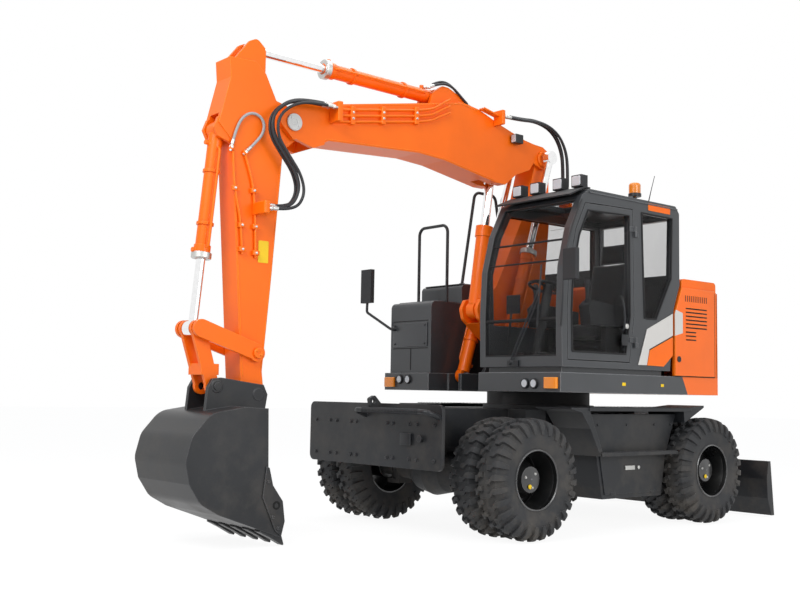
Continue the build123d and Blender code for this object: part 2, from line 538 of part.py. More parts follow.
def upper_boom():
    half = BOOM_WIDTH / 2
    side = [(2720, 3350), (2560, 3440), (1510, 3500), (1180, 3480), (480, 3360), (350, 3360), (200, 3480),
            (0, 3560), (-60, 3640), (-60, 3840), (80, 3860), (440, 3960), (730, 4060), (950, 4090),
            (2700, 3740)]
    body = plate(side, BOOM_Y - half, BOOM_Y + half,
                 [((440, 3960), 300), ((730, 4060), 150)])
    for y0 in (BOOM_Y - half, BOOM_Y + half - 45):
        tip = plate([(2600, 3400), (2720, 3350), (2900, 3400), (2930, 3390), (3090, 3540), (2930, 3700),
                     (2700, 3745), (2600, 3745)], y0, y0 + 45, [((3090, 3540), 60), ((2930, 3700), 60)])
        body += tip
    for y0 in (BOOM_Y - half, BOOM_Y + half - 35):
        body += plate([(0, 3560), (-60, 3640), (-200, 3590), (-290, 3620), (-310, 3700), (-290, 3780),
                       (-200, 3830), (-60, 3840), (50, 3850)], y0, y0 + 35)
    body -= block(2740, 3200, BOOM_Y - half + 45, BOOM_Y + half - 45, 3200, 3900)
    body -= block(200, 620, BOOM_Y - 62, BOOM_Y + 62, 3300, 3620)
    body += bar_y(POSITION_CYL_EYE, BOOM_Y - half, BOOM_Y - 66, 70) + bar_y(
        POSITION_CYL_EYE, BOOM_Y + 66, BOOM_Y + half, 70)
    for y0 in (BOOM_Y - 105, BOOM_Y + 70):
        body += plate([(830, 4050), (830, 4130), (1090, 4225), (1170, 4225), (1290, 4140), (1330, 4000)],
                      y0, y0 + 35, [((1090, 4225), 40), ((1170, 4225), 40)])
    body += bar_y(ARM_CYL_FOOT, BOOM_Y - 105, BOOM_Y + 105, PIN * 0.8)
    body += bar_y(BOOM_TIP, BOOM_Y - half - 8, BOOM_Y + half + 8, PIN)
    body += bar_y(ELBOW, BOOM_Y - half - 6, BOOM_Y + half + 6, PIN)
    return body


def arm():
    half = ARM_WIDTH / 2
    side = [(3290, 4010), (3545, 4000), (3530, 3830), (3630, 3430), (3500, 3300), (3350, 1310), (3320, 1250),
            (3130, 1250), (3150, 1400), (3080, 2220), (3010, 3170), (3000, 3290), (2830, 3440),
            (2830, 3650), (3080, 3710), (3190, 3920)]
    body = plate(side, BOOM_Y - half, BOOM_Y + half, [((2830, 3440), 90), ((2830, 3650), 90)])
    for y0 in (BOOM_Y - 105, BOOM_Y + 70):
        body += plate([(3190, 3900), (3190, 4140), (3280, 4215), (3350, 4180), (3500, 3990), (3500, 3900)],
                      y0, y0 + 35, [((3190, 4140), 50), ((3280, 4215), 50)])
        body += plate([(3500, 3520), (3630, 3480), (3665, 3390), (3630, 3320), (3450, 3260)], y0, y0 + 35)
    body -= block(3500, 3800, BOOM_Y - 72, BOOM_Y + 72, 3190, 3520)
    body += bar_y(BUCKET_CYL_FOOT, BOOM_Y - 105, BOOM_Y + 105, PIN * 0.8)
    body += bar_y(BUCKET_PIN, BOOM_Y - half, BOOM_Y + half, 95)
    body -= bar_y(BOOM_TIP, BOOM_Y - 300, BOOM_Y + 300, PIN + 1)
    body -= bar_y(BUCKET_PIN, BOOM_Y - 300, BOOM_Y + 300, PIN + 1)
    body += bar_y(SIDE_LINK_PIN, BOOM_Y - half - 50, BOOM_Y + half + 50, PIN * 0.8)
    return body


def side_links():
    links = []
    for y0 in (BOOM_Y - ARM_WIDTH / 2 - 40, BOOM_Y + ARM_WIDTH / 2 + 10):
        (x0, z0), (x1, z1) = SIDE_LINK_PIN, LINK_PIN
        link = plate([(x0 - 20, z0 - 70), (x1 + 20, z1 - 70), (x1 - 20, z1 + 70), (x0 - 30, z0 + 70)], y0, y0 + 30)
        link += bar_y(SIDE_LINK_PIN, y0, y0 + 30, 72) + bar_y(LINK_PIN, y0, y0 + 30, 72)
        link -= bar_y(SIDE_LINK_PIN, y0 - 1, y0 + 31, PIN * 0.8 + 1)
        links.append(link)
    low = links[0] + bar_y(LINK_PIN, BOOM_Y - ARM_WIDTH / 2 - 40, BOOM_Y - 63, PIN * 0.8)
    high = links[1] + bar_y(LINK_PIN, BOOM_Y + 63, BOOM_Y + ARM_WIDTH / 2 + 40, PIN * 0.8)
    return group([low, high])


def main_link():
    (x0, z0), (x1, z1) = LINK_PIN, BUCKET_LINK_PIN
    body = None
    for y0 in (BOOM_Y - 105, BOOM_Y + 70):
        leaf = plate([(x0 - 65, z0), (x0 + 65, z0), (x1 + 60, z1), (x1 - 60, z1)], y0, y0 + 35)
        leaf += bar_y(LINK_PIN, y0, y0 + 35, 70) + bar_y(BUCKET_LINK_PIN, y0, y0 + 35, 66)
        body = leaf if body is None else body + leaf
    body += block(x1 - 50, x1 + 110, BOOM_Y - 105, BOOM_Y + 105, z1 + 90, z1 + 180)
    body -= bar_y(LINK_PIN, BOOM_Y - 300, BOOM_Y + 300, PIN * 0.8 + 1)
    body -= bar_y(BUCKET_LINK_PIN, BOOM_Y - 300, BOOM_Y + 300, PIN * 0.8)
    return body


def bucket():
    half = BUCKET_WIDTH / 2
    shell = plate([(3270, 1100), (3480, 1110), (3790, 1060), (3950, 880), (4000, 690), (3960, 520),
                   (3860, 370), (3700, 280), (3450, 190), (3120, 70), (3130, 240), (3250, 430)],
                  BOOM_Y - half, BOOM_Y + half,
                  [((3790, 1060), 200), ((3950, 880), 150), ((4000, 690), 150), ((3860, 370), 150)])
    hollow = plate([(3000, 1075), (3480, 1085), (3770, 1036), (3920, 870), (3972, 690), (3934, 530),
                    (3843, 392), (3690, 305), (3440, 215), (3000, 60)], BOOM_Y - half + 28, BOOM_Y + half - 28,
                   [((3770, 1036), 180), ((3920, 870), 130), ((3972, 690), 130), ((3843, 392), 130)])
    body = shell - hollow
    pitch = (BUCKET_WIDTH - 100) / (TOOTH_COUNT - 1)
    for i in range(TOOTH_COUNT):
        y = BOOM_Y - half + 50 + pitch * i
        body += plate([(3280, 160), (3240, 90), (3095, 8), (3085, 16), (3110, 90), (3180, 150)], y - 38, y + 38)
    for y in (BOOM_Y - 170, BOOM_Y + 135):
        body += plate([(3140, 1090), (3120, 1210), (3160, 1290), (3260, 1300), (3560, 1340), (3640, 1330),
                       (3680, 1260), (3700, 1060)], y, y + 35)
    body += bar_y(BUCKET_PIN, BOOM_Y - 170, BOOM_Y + 170, PIN)
    for y in (BOOM_Y - 185, BOOM_Y + 120):
        body += bar_y(BUCKET_LINK_PIN, y, y + 65, PIN * 0.8)
    return body


# ---------------------------------------------------------------- the assembly
def build():
    nodes["chassis_frame"] = chassis_frame()
    nodes["slewing_ring"] = slewing_ring()
    nodes["front_plate"] = front_plate()
    nodes["front_axle"] = axle(FRONT_AXLE_X, True)
    nodes["rear_axle"] = axle(REAR_AXLE_X, False)
    nodes["transmission"] = transmission()
    left_step = side_step()
    nodes["side_steps"] = group([left_step, mirror(left_step, about=Plane.XZ)])
    for name, sign in (("left", 1), ("right", -1)):
        nodes[f"knuckle_{name}"] = knuckle(sign)
        for end, x in (("front", FRONT_AXLE_X), ("rear", REAR_AXLE_X)):
            nodes[f"tyres_{end}_{name}"] = wheel_tyres(x, sign)
            nodes[f"hub_{end}_{name}"] = wheel_hub(x, sign)
    nodes["blade"] = blade()
    pairs = [ram(BLADE_CYL_FOOT, BLADE_CYL_EYE, sign * BLADE_CYL_Y, 52, 28, 400, 185, 66) for sign in (-1, 1)]
    nodes["blade_barrels"] = group([p[0] for p in pairs])
    nodes["blade_rods"] = group([p[1] for p in pairs])

    nodes["upper_frame"] = upper_frame()
    nodes["cab_shell"] = cab_shell()
    nodes["cab_glass"] = cab_glass()
    nodes["cab_door"] = cab_door()
    nodes["cab_door_glass"] = cab_door_glass()
    nodes["seat"] = seat()
    nodes["consoles"] = consoles()
    nodes["steering_column"] = steering_column()
    nodes["roof_lamps"] = roof_lamps()
    nodes["engine"] = engine()
    nodes["engine_hood"] = engine_hood()
    nodes["side_panels"] = side_panels()
    nodes["counterweight"] = counterweight()
    nodes["right_boxes"] = right_boxes()
    nodes["handrails"] = handrails()
    nodes["mirrors"] = mirrors()
    nodes["beacon"] = beacon()
    nodes["base_lamps"] = base_lamps()

    nodes["lower_boom"] = lower_boom()
    nodes["upper_boom"] = upper_boom()
    nodes["arm"] = arm()
    nodes["side_links"] = side_links()
    nodes["main_link"] = main_link()
    nodes["bucket"] = bucket()
    sides = [ram(BOOM_CYL_FOOT, ELBOW, BOOM_Y + s * CYL_SIDE, 62, 38, 1330, 570, 74) for s in (-1, 1)]
    nodes["boom_barrels"] = group([p[0] for p in sides])
    nodes["boom_rods"] = group([p[1] for p in sides])
    nodes["position_barrel"], nodes["position_rod"] = ram(
        POSITION_CYL_FOOT, POSITION_CYL_EYE, BOOM_Y, 75, 45, 860, 165, 100)
    nodes["arm_barrel"], nodes["arm_rod"] = ram(ARM_CYL_FOOT, ARM_CYL_EYE, BOOM_Y, 65, 40, 1310, 560, 110)
    nodes["bucket_barrel"], nodes["bucket_rod"] = ram(
        BUCKET_CYL_FOOT, LINK_PIN, BOOM_Y, 60, 38, 1090, 290, 110)


build()
boxes = [shape.bounding_box() for shape in nodes.values()]
MIDDLE = (
    (min(b.min.X for b in boxes) + max(b.max.X for b in boxes)) / 2,
    (min(b.min.Y for b in boxes) + max(b.max.Y for b in boxes)) / 2,
    min(b.min.Z for b in boxes),
)
os.makedirs("parts", exist_ok=True)
for name, shape in nodes.items():
    export_step(Pos(-MIDDLE[0], -MIDDLE[1], -MIDDLE[2]) * shape, f"parts/{name}.step")
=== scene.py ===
import math
import bmesh, bpy
import numpy as np
from mathutils import Matrix, Vector


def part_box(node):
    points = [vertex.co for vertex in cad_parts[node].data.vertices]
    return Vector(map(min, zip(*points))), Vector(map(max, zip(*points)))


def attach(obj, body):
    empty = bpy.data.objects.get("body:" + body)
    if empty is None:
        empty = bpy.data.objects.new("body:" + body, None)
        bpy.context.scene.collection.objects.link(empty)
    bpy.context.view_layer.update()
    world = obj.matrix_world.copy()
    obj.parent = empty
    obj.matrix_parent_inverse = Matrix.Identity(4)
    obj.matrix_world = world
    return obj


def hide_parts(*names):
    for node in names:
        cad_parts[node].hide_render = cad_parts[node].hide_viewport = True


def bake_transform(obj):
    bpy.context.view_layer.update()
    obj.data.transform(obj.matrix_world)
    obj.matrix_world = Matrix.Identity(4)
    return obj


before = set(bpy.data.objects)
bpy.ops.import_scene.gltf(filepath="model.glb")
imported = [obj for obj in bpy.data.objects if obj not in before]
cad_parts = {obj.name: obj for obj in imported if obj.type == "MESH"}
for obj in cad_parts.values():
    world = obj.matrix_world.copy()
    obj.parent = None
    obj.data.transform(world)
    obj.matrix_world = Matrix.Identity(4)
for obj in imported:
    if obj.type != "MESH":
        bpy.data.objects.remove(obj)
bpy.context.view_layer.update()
X, Y, Z, ORIGIN = (1, 0, 0), (0, 1, 0), (0, 0, 1), (0, 0, 0)
HOUSE = "upper_structure"
SIDES = (("left", 1), ("right", -1))

# ------------------------------------------------------------------ viewpoint
# A long lens at chest height, ahead of the machine and to its left. The machine's own sizes are given
# from a point on the ground between its wheels, 1.2 m behind the front axle, x forward and y to the left.
FRONT_AXLE, REAR_AXLE, AXLE_HEIGHT = 1.2, -1.35, 0.525
left_tyres, right_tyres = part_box("tyres_front_left"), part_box("tyres_front_right")
AT = np.array([(left_tyres[0][0] + left_tyres[1][0]) / 2 - FRONT_AXLE, (left_tyres[1][1] + right_tyres[0][1]) / 2, 0.0])
eye = Vector(AT + [8.005, 7.553, 1.237])
yaw, pitch, roll = math.radians(-129.81), math.radians(4.98), math.radians(1.02)
ahead = Vector((math.cos(pitch) * math.cos(yaw), math.cos(pitch) * math.sin(yaw), math.sin(pitch)))
right = ahead.cross(Vector(Z)).normalized()
up = right.cross(ahead)
across = right * math.cos(roll) + up * math.sin(roll)
upright = -right * math.sin(roll) + up * math.cos(roll)
camera = bpy.data.objects.new("camera", bpy.data.cameras.new("camera"))
bpy.context.collection.objects.link(camera)
camera.matrix_world = Matrix.Translation(eye) @ Matrix((across, upright, -ahead)).transposed().to_4x4()
camera.data.sensor_width = 36.0
camera.data.lens = 1073.7 / 800 * 36.0
camera.data.clip_end = 200
bpy.context.scene.camera = camera

# ------------------------------------------------------------------ studio
# A white studio: a matt floor under a plain white backdrop, two large soft boxes and a long strip light over the
# machine, as for a catalogue plate.
bpy.context.scene.view_settings.view_transform = "Standard"


def feed(tree, target, inputs):
    """Fills a node's inputs, each with the socket or the node that feeds it, or with a plain value."""
    for key, value in dict(inputs).items():
        if isinstance(value, bpy.types.Node):
            value = value.outputs[0]
        if isinstance(value, bpy.types.NodeSocket):
            tree.links.new(value, target.inputs[key])
        else:
            target.inputs[key].default_value = value


def node(tree, kind, inputs=(), **settings):
    """A new shader node with its settings and its inputs."""
    made = tree.nodes.new("ShaderNode" + kind)
    for key, value in settings.items():
        setattr(made, key, value)
    feed(tree, made, inputs)
    return made


def blank(name, slot=""):
    """A new material with its tree and its shader. The slot is the record's finish that it stands for."""
    material = bpy.data.materials.new(name)
    material.use_nodes = True
    material["slot"] = slot
    return material, material.node_tree, material.node_tree.nodes["Principled BSDF"]


def sees_white(tree):
    """1 for camera, glossy and transmission rays, which see plain white, and 0 for the rays that light the scene."""
    ray = node(tree, "LightPath")
    share = ray.outputs["Is Camera Ray"]
    for label in ("Is Glossy Ray", "Is Transmission Ray"):
        share = node(tree, "Math", {0: share, 1: ray.outputs[label]}, operation="MAXIMUM").outputs[0]
    return share


world = bpy.data.worlds.new("studio")
world.use_nodes = True
tree = world.node_tree
sky = tree.nodes["Background"]
feed(tree, sky, {"Color": (0.93, 0.96, 1.0, 1), "Strength": 0.50})
seen = node(tree, "Background", {"Color": (1, 1, 1, 1)})
feed(tree, tree.nodes["World Output"], {"Surface": node(tree, "MixShader", {0: sees_white(tree), 1: sky, 2: seen})})
bpy.context.scene.world = world

floor_mesh = bpy.data.meshes.new("floor")
floor_mesh.from_pydata([(-60, -60, 0), (60, -60, 0), (60, 60, 0), (-60, 60, 0)], [], [(0, 1, 2, 3)])
floor = bpy.data.objects.new("floor", floor_mesh)
bpy.context.collection.objects.link(floor)
matt, tree, chalk = blank("floor_matt")
feed(tree, chalk, {"Base Color": (0.9, 0.9, 0.9, 1), "Roughness": 1.0})
glow = node(tree, "Emission", {"Color": (1, 1, 1, 1), "Strength": 1.07})
share = node(tree, "Math", {0: sees_white(tree), 1: 0.86}, operation="MULTIPLY")
feed(tree, tree.nodes["Material Output"], {"Surface": node(tree, "MixShader", {0: share, 1: chalk, 2: glow})})
floor_mesh.materials.append(matt)

# Each light: its name, its place, its width and its watts.
middle = Vector(AT + [0.8, 0.0, 1.6])
for name, place, width, watts in (("key_box", (9.0, 3.0, 7.5), 5.0, 520), ("side_box", (1.0, 10.0, 4.5), 5.0, 330),
                                  ("top_strip", (-1.0, -1.0, 9.0), 6.0, 190)):
    lamp = bpy.data.lights.new(name, "AREA")
    lamp.shape, lamp.size, lamp.size_y, lamp.energy = "RECTANGLE", width, width * 0.7, watts
    box = bpy.data.objects.new(name, lamp)
    bpy.context.collection.objects.link(box)
    spot = Vector(AT + place)
    box.matrix_world = Matrix.Translation(spot) @ (middle - spot).to_track_quat("-Z", "Y").to_matrix().to_4x4()

# ------------------------------------------------------------------ chassis
# The welded box frame, its front plate and the turntable ring, shot-blasted and painted satin black.
# The paint lies a few tenths thick over ground edges, and road dust settles low down and on flat tops.
FLOAT, VECTOR = "NodeSocketFloat", "NodeSocketVector"


def group_of(name, inputs, outputs):
    """An empty shader node group with its named inputs (name, value) and outputs (name, kind)."""
    group = bpy.data.node_groups.new(name, "ShaderNodeTree")
    for label, value in inputs:
        group.interface.new_socket(label, in_out="INPUT", socket_type=FLOAT).default_value = value
    for label, kind in outputs:
        group.interface.new_socket(label, in_out="OUTPUT", socket_type=kind)
    return group, group.nodes.new("NodeGroupInput").outputs, group.nodes.new("NodeGroupOutput")


def noise(tree, **inputs):
    """Noise over the object's own coordinates."""
    return node(tree, "TexNoise", {"Vector": node(tree, "TexCoord").outputs["Object"], **inputs})


def mixed(tree, share, first, second):
    """A colour between two: the share is the second's, which is a plain colour."""
    return node(tree, "Mix", {0: share, 6: first, 7: (*second, 1)}, data_type="RGBA").outputs[2]


# Edges: a mask that is 1 where the surface turns within a few millimetres. Paints make these edges paler: worn paint,
# and on the rim a painted highlight.
edges, given, put = group_of("worn_and_highlit_edges", [("Radius", 0.006)], [("Mask", FLOAT), ("Normal", VECTOR)])
soft = node(edges, "Bevel", {"Radius": given["Radius"]}, samples=4)
flat = node(edges, "NewGeometry").outputs["True Normal"]
turn = node(edges, "VectorMath", {0: soft, 1: flat}, operation="DOT_PRODUCT").outputs["Value"]
feed(edges, put, {"Mask": node(edges, "MapRange", {"Value": turn, "From Min": 0.995, "From Max": 0.90}),
                  "Normal": soft})

# Road dust: soft patches, thicker towards the ground.
dust, given, put = group_of("road_dust", [("Scale", 3.0), ("Top", 1.2), ("Amount", 0.3)], [("Mask", FLOAT)])
large = noise(dust, Scale=given["Scale"], Detail=6.0, Roughness=0.62)
height = node(dust, "SeparateXYZ", {0: node(dust, "TexCoord").outputs["Object"]}).outputs["Z"]
low = node(dust, "MapRange",
           {"Value": height, "From Min": given["Top"], "From Max": 0.0, "To Min": 0.25, "To Max": 1.0})
patch = node(dust, "MapRange", {"Value": large, "From Min": 0.45, "From Max": 0.75})
level = node(dust, "Math", {0: patch, 1: low}, operation="MULTIPLY")
feed(dust, put, {"Mask": node(dust, "Math", {0: level, 1: given["Amount"]}, operation="MULTIPLY")})

# Grain: the fine relief of a sprayed, cast or moulded face, as a height between 0 and 1.
grain, given, put = group_of("fine_grain", [("Scale", 180.0), ("Detail", 3.0)], [("Height", FLOAT)])
feed(grain, put, {"Height": noise(grain, Scale=given["Scale"], Detail=given["Detail"])})
DUST = (0.19, 0.165, 0.135)


def paint(name, slot, colour, roughness, dusty=0.25, coat=0.0, metallic=0.0, wear_and_highlight=None, grain_scale=180.0, relief=0.02,
          radius=0.006, tone=0.12, top=1.2, gloss=0.35):
    """A sprayed or cast finish: its colour drifts a little, is paler at ground edges (worn paint, and on the rim's
    paint a painted highlight) and dusty low down.
    """
    material, tree, shader = blank(name, slot)
    drift = noise(tree, Scale=1.7, Detail=4.0)
    span = node(tree, "MapRange",
                {"Value": drift, "From Min": 0.3, "From Max": 0.7, "To Min": 1 - tone, "To Max": 1 + tone})
    body = node(tree, "VectorMath", {0: colour, 3: span}, operation="SCALE")
    edge = node(tree, "Group", {"Radius": radius}, node_tree=edges).outputs
    # The edge colour: worn paint, and on the rim's paint a painted highlight.
    edge_wear_and_highlight = wear_and_highlight or tuple(min(1.0, c * 1.35 + 0.012) for c in colour)
    dirt = node(tree, "Group", {"Amount": dusty, "Top": top}, node_tree=dust)
    matt = node(tree, "MapRange", {"Value": dirt, "To Min": roughness, "To Max": 0.9})
    rough = node(tree, "Group", {"Scale": grain_scale}, node_tree=grain)
    feed(tree, shader, {
        "Base Color": mixed(tree, dirt, mixed(tree, edge["Mask"], body, edge_wear_and_highlight), DUST),
        "Roughness": node(tree, "Math", {0: drift, 1: 0.16, 2: matt}, operation="MULTIPLY_ADD"),
        "Normal": node(tree, "Bump",
                       {"Strength": relief * 10, "Distance": 0.001, "Height": rough, "Normal": edge["Normal"]}),
        "Metallic": metallic, "Specular IOR Level": gloss, "Coat Weight": coat, "Coat Roughness": 0.12})
    return material


def dress(material, *names):
    """Gives a finish to nodes of the frame."""
    for name in names:
        for slot in bpy.data.objects[name].material_slots:
            slot.material = material


def joined(*shapes):
    """One shape out of several: their points follow each other and their faces are renumbered to match."""
    points, faces, start = [], [], 0
    for p, f in shapes:
        points.append(p)
        faces += [a + start for a in f]
        start += len(p)
    return np.concatenate(points), faces


def copied(sets, faces):
    """One shape out of many sets of points that all have the same faces."""
    start = (np.arange(len(sets)) * sets.shape[1])[:, None, None]
    return sets.reshape(-1, 3), [(f[None] + start).reshape(-1, f.shape[1]) for f in faces]


def repeated(shape, offsets):
    """The same shape at each of the offsets."""
    return copied(shape[0][None] + np.asarray(offsets, float)[:, None], shape[1])


def circle(count):
    """Equal angles round a full turn."""
    return np.linspace(0, 2 * np.pi, count, endpoint=False)


def stacked(rings):
    """A closed skin over a stack of rings, rings[i, j] being point j of ring i. Neighbouring rings are joined by
    four-sided faces, and each end is closed by a fan to the middle of its ring."""
    rows, sides = rings.shape[:2]
    i, j = np.meshgrid(np.arange(rows - 1) * sides, np.arange(sides), indexing="ij")
    after = (j + 1) % sides
    walls = np.stack([i + j, i + after, i + sides + after, i + sides + j], -1).reshape(-1, 4)
    points = np.concatenate([rings.reshape(-1, 3), rings[:1].mean(1), rings[-1:].mean(1)])
    j, after, last, tip = j[0], after[0], (rows - 1) * sides, np.full(sides, rows * sides)
    ends = [np.stack([after, j, tip], -1), np.stack([last + j, last + after, tip + 1], -1)]
    return points, [walls, *ends]


def turned(profile, centre, axis, sides=32):
    """A profile of (distance along the axis, radius) turned about the axis: each ring lies square to the axis, at
    radius times (cosine, sine) of equal angles."""
    profile, axis = np.asarray(profile, float), np.asarray(axis, float) / np.linalg.norm(axis)
    side = np.cross(axis, np.eye(3)[np.argmin(np.abs(axis))])
    side /= np.linalg.norm(side)
    angle = circle(sides)
    spokes = np.cos(angle)[:, None] * side + np.sin(angle)[:, None] * np.cross(axis, side)
    return stacked(np.asarray(centre) + profile[:, :1, None] * axis + profile[:, 1:, None] * spokes[None])


def pressed(outline, origin, u, v, depth):
    """A flat outline of (along u, along v) points, given a depth square to both."""
    outline, u, v = np.asarray(outline, float), np.asarray(u, float), np.asarray(v, float)
    n = len(outline)
    base = np.asarray(origin) + outline[:, :1] * u + outline[:, 1:] * v
    j = np.arange(n)
    walls = np.stack([j, (j + 1) % n, n + (j + 1) % n, n + j], -1)
    return np.concatenate([base, base + depth * np.cross(u, v)]), [walls, j[::-1][None], j[None] + n]


def rounded(width, height, radius, steps=5):
    """The outline of a rectangle about the origin with rounded corners: a quarter circle at each corner."""
    angle = np.arange(4)[:, None] * np.pi / 2 + np.linspace(0, np.pi / 2, steps)[None]
    middle = np.array([(1, 1), (-1, 1), (-1, -1), (1, -1)]) * [width / 2 - radius, height / 2 - radius]
    return (middle[:, None] + radius * np.stack([np.cos(angle), np.sin(angle)], -1)).reshape(-1, 2)


def slab(corner, opposite, radius=0.006):
    """A box between two opposite corners with its upright edges rounded."""
    low, high = np.minimum(corner, opposite), np.maximum(corner, opposite)
    size, middle = high - low, (low + high) / 2
    radius = min(radius, size[0] / 2.01, size[1] / 2.01)
    return pressed(rounded(size[0], size[1], radius), (middle[0], middle[1], low[2]), X, Y, size[2])


def face_outward(mesh, weld=0.0):
    """Turns a mesh's faces outward, after points nearer than weld are made one."""
    shell = bmesh.new()
    shell.from_mesh(mesh)
    if weld:
        bmesh.ops.remove_doubles(shell, verts=shell.verts, dist=weld)
    bmesh.ops.recalc_face_normals(shell, faces=shell.faces)
    shell.to_mesh(mesh)
    shell.free()


def piece(name, shape, finish, body, angle=35, bevel=0.0):
    """Puts a shape, or a list of shapes, into a mesh of its own with the finish, and fixes it to a body of the
    frame. The angle is where its edges start to look sharp, and the bevel grinds them."""
    points, faces = joined(*shape) if isinstance(shape, list) else shape
    mesh = bpy.data.meshes.new(name)
    mesh.from_pydata((points + AT).tolist(), [], [corner for array in faces for corner in array.tolist()])
    face_outward(mesh)
    mesh.shade_smooth()
    mesh.set_sharp_from_angle(angle=math.radians(angle))
    mesh.materials.append(finish)
    made = bpy.data.objects.new(name, mesh)
    bpy.context.collection.objects.link(made)
    if bevel:
        ground = made.modifiers.new("ground", "BEVEL")
        ground.width, ground.segments, ground.limit_method, ground.angle_limit = bevel, 2, "ANGLE", math.radians(40)
    if body:
        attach(made, body)
    return made


def bolts(places, axis, size=0.012):
    """Hexagon bolt heads on their washers, at each of the places, facing along the axis."""
    washer = turned([(0, size * 1.25), (size * 0.2, size * 1.25)], ORIGIN, axis, 16)
    head = turned([(size * 0.2, size * 0.98), (size * 0.8, size), (size * 0.95, size * 0.84)], ORIGIN, axis, 6)
    return repeated(joined(washer, head), places)


black = paint("black_paint", "black_paint", (0.014, 0.0155, 0.018), 0.34, dusty=0.35, tone=0.2,
              wear_and_highlight=(0.05, 0.052, 0.058))
grey = paint("grey_paint", "grey_paint", (0.040, 0.043, 0.047), 0.30, dusty=0.12, coat=0.25, wear_and_highlight=(0.12, 0.125, 0.13),
             radius=0.010)
cast = paint("cast_grey", "cast_grey", (0.020, 0.021, 0.023), 0.50, dusty=0.5, relief=0.09, grain_scale=90,
             wear_and_highlight=(0.06, 0.06, 0.062))
zinc = paint("zinc_plate", "chrome_rod", (0.55, 0.55, 0.53), 0.32, metallic=1.0, dusty=0.1, relief=0.03)
dress(black, "chassis_frame", "front_plate", "side_steps", "blade", "transmission")
dress(cast, "slewing_ring", "front_axle", "rear_axle", "knuckle_left", "knuckle_right")

RING_MIDDLE, RING_RADIUS, RING_TOP, PLATE_FRONT = -0.15, 0.505, 1.11, 2.015
angle = circle(36)
ring_bolts = [(RING_MIDDLE + RING_RADIUS * c, RING_RADIUS * s, RING_TOP) for c, s in zip(np.cos(angle), np.sin(angle))]
piece("ring_bolts", bolts(ring_bolts, Z, 0.013), zinc, "chassis")
plate_bolts = [(PLATE_FRONT, s * y, z) for s in (-1, 1) for y in (0.22, 0.30, 0.52, 0.62, 0.84) for z in (0.68, 0.98)]
piece("front_plate_bolts", bolts(plate_bolts, X, 0.015), black, "chassis")
rib = turned([(0, 0.026), (0.006, 0.026)], (2.150, 0, 1.090), Y, 16)
piece("step_tube_ribs", repeated(rib, [(0, y, 0) for y in np.arange(0.04, 0.80, 0.02)]), black, "chassis")
socket = [slab((2.010, 0.42, 0.80), (2.040, 0.56, 0.90), 0.01),
          turned([(0, 0.03), (0.03, 0.03)], (PLATE_FRONT, 0.68, 0.86), X, 20)]
piece("front_plate_socket", socket, black, "chassis", bevel=0.002)

# ------------------------------------------------------------------ wheels
# Eight crossply tyres in pairs, moulded in carbon-black rubber with deep block lugs, pressed over steel rims
# that are rolled, welded to their discs and held on the hubs with ten nuts and a domed planetary cover.


def tyre_skin(points, half=0.139, shoulder=0.100, tread=0.495, bead=0.262):
    """The outer skin of the tyre as (distance from its middle plane, radius) at s = -1 to 1: a slightly crowned
    tread in the middle third, then a bulging side wall that runs in to the bead on half an ellipse."""
    s = np.asarray(points, float)
    crown = np.clip(np.abs(s) / 0.45, 0, 1)
    wall = np.clip((np.abs(s) - 0.45) / 0.55, 0, 1)
    turn = wall * np.pi
    y = np.where(wall > 0, shoulder + (half - shoulder) * np.sin(np.clip(turn, 0, np.pi * 0.5)), shoulder * crown)
    y = np.where(turn > np.pi / 2, half - (half - 0.112) * (1 - np.cos(turn - np.pi / 2)) * 0.9, y)
    r = np.where(wall > 0, bead + (tread - 0.012 - bead) * (1 - wall) ** 0.85, tread - 0.012 * crown ** 2)
    return np.sign(s) * y, r


def hoop(profile, centre, axis, sides=32):
    """A closed profile of (distance along the axis, radius) points turned about the axis: a ring that is open in
    the middle."""
    points, faces = turned(profile, centre, axis, sides)
    j, last = np.arange(sides), (len(profile) - 1) * sides
    back = np.stack([last + j, last + (j + 1) % sides, (j + 1) % sides, j], -1)
    return points[:-2], [faces[0], back]


def lug(first, last, shift, width, height, steps=12):
    """One lug: a stack of six-sided rings that follow the skin from s = first to last. Its middle is moved round
    the tyre by shift(t) and it is width(t) wide, in metres at the tread, with its flanks drawn in by a fifth."""
    t = np.linspace(0, 1, steps)
    y, r = tyre_skin(first + (last - first) * t)
    out = np.stack([-np.gradient(r), np.gradient(y)], -1) * np.sign(last - first)
    out /= np.linalg.norm(out, axis=1, keepdims=True)
    foot, crest, w = np.full(steps, -0.010), height(t), width(t) / 2
    ring = [(-w, foot), (-w * 0.92, crest * 0.7), (-w * 0.80, crest), (w * 0.80, crest), (w * 0.92, crest * 0.7),
            (w, foot)]
    where = np.stack([np.stack([a, y + out[:, 0] * b, r + out[:, 1] * b], -1) for a, b in ring], 1)
    turn = (where[..., 0] + shift(t)[:, None]) / 0.50
    return stacked(np.stack([where[..., 2] * np.cos(turn), where[..., 1], where[..., 2] * np.sin(turn)], -1))


def turned_copies(shape, count, start=0.0):
    """The shape at equal angles about the tyre's axle."""
    points, faces = shape
    turn = start + circle(count)
    c, s = np.cos(turn)[:, None], np.sin(turn)[:, None]
    x, y, z = points.T
    return copied(np.stack([x * c - z * s, np.broadcast_to(y, (count, len(y))), x * s + z * c], -1), faces)


def pipe(path, radius, sides=12):
    """A round tube carried along a path: each ring lies square to the path, between the path's side, which is its
    direction crossed with a fixed line, and the line square to both."""
    path = np.asarray(path, float)
    ahead = np.gradient(path, axis=0)
    ahead /= np.linalg.norm(ahead, axis=1, keepdims=True)
    fixed = np.eye(3)[np.argmin(np.abs(ahead).max(0))]
    side = np.cross(ahead, fixed)
    side /= np.linalg.norm(side, axis=1, keepdims=True)
    over = np.cross(ahead, side)
    angle = circle(sides)[None, :, None]
    radius = np.broadcast_to(radius, len(path))[:, None, None]
    return stacked(path[:, None] + radius * (np.cos(angle) * side[:, None] + np.sin(angle) * over[:, None]))


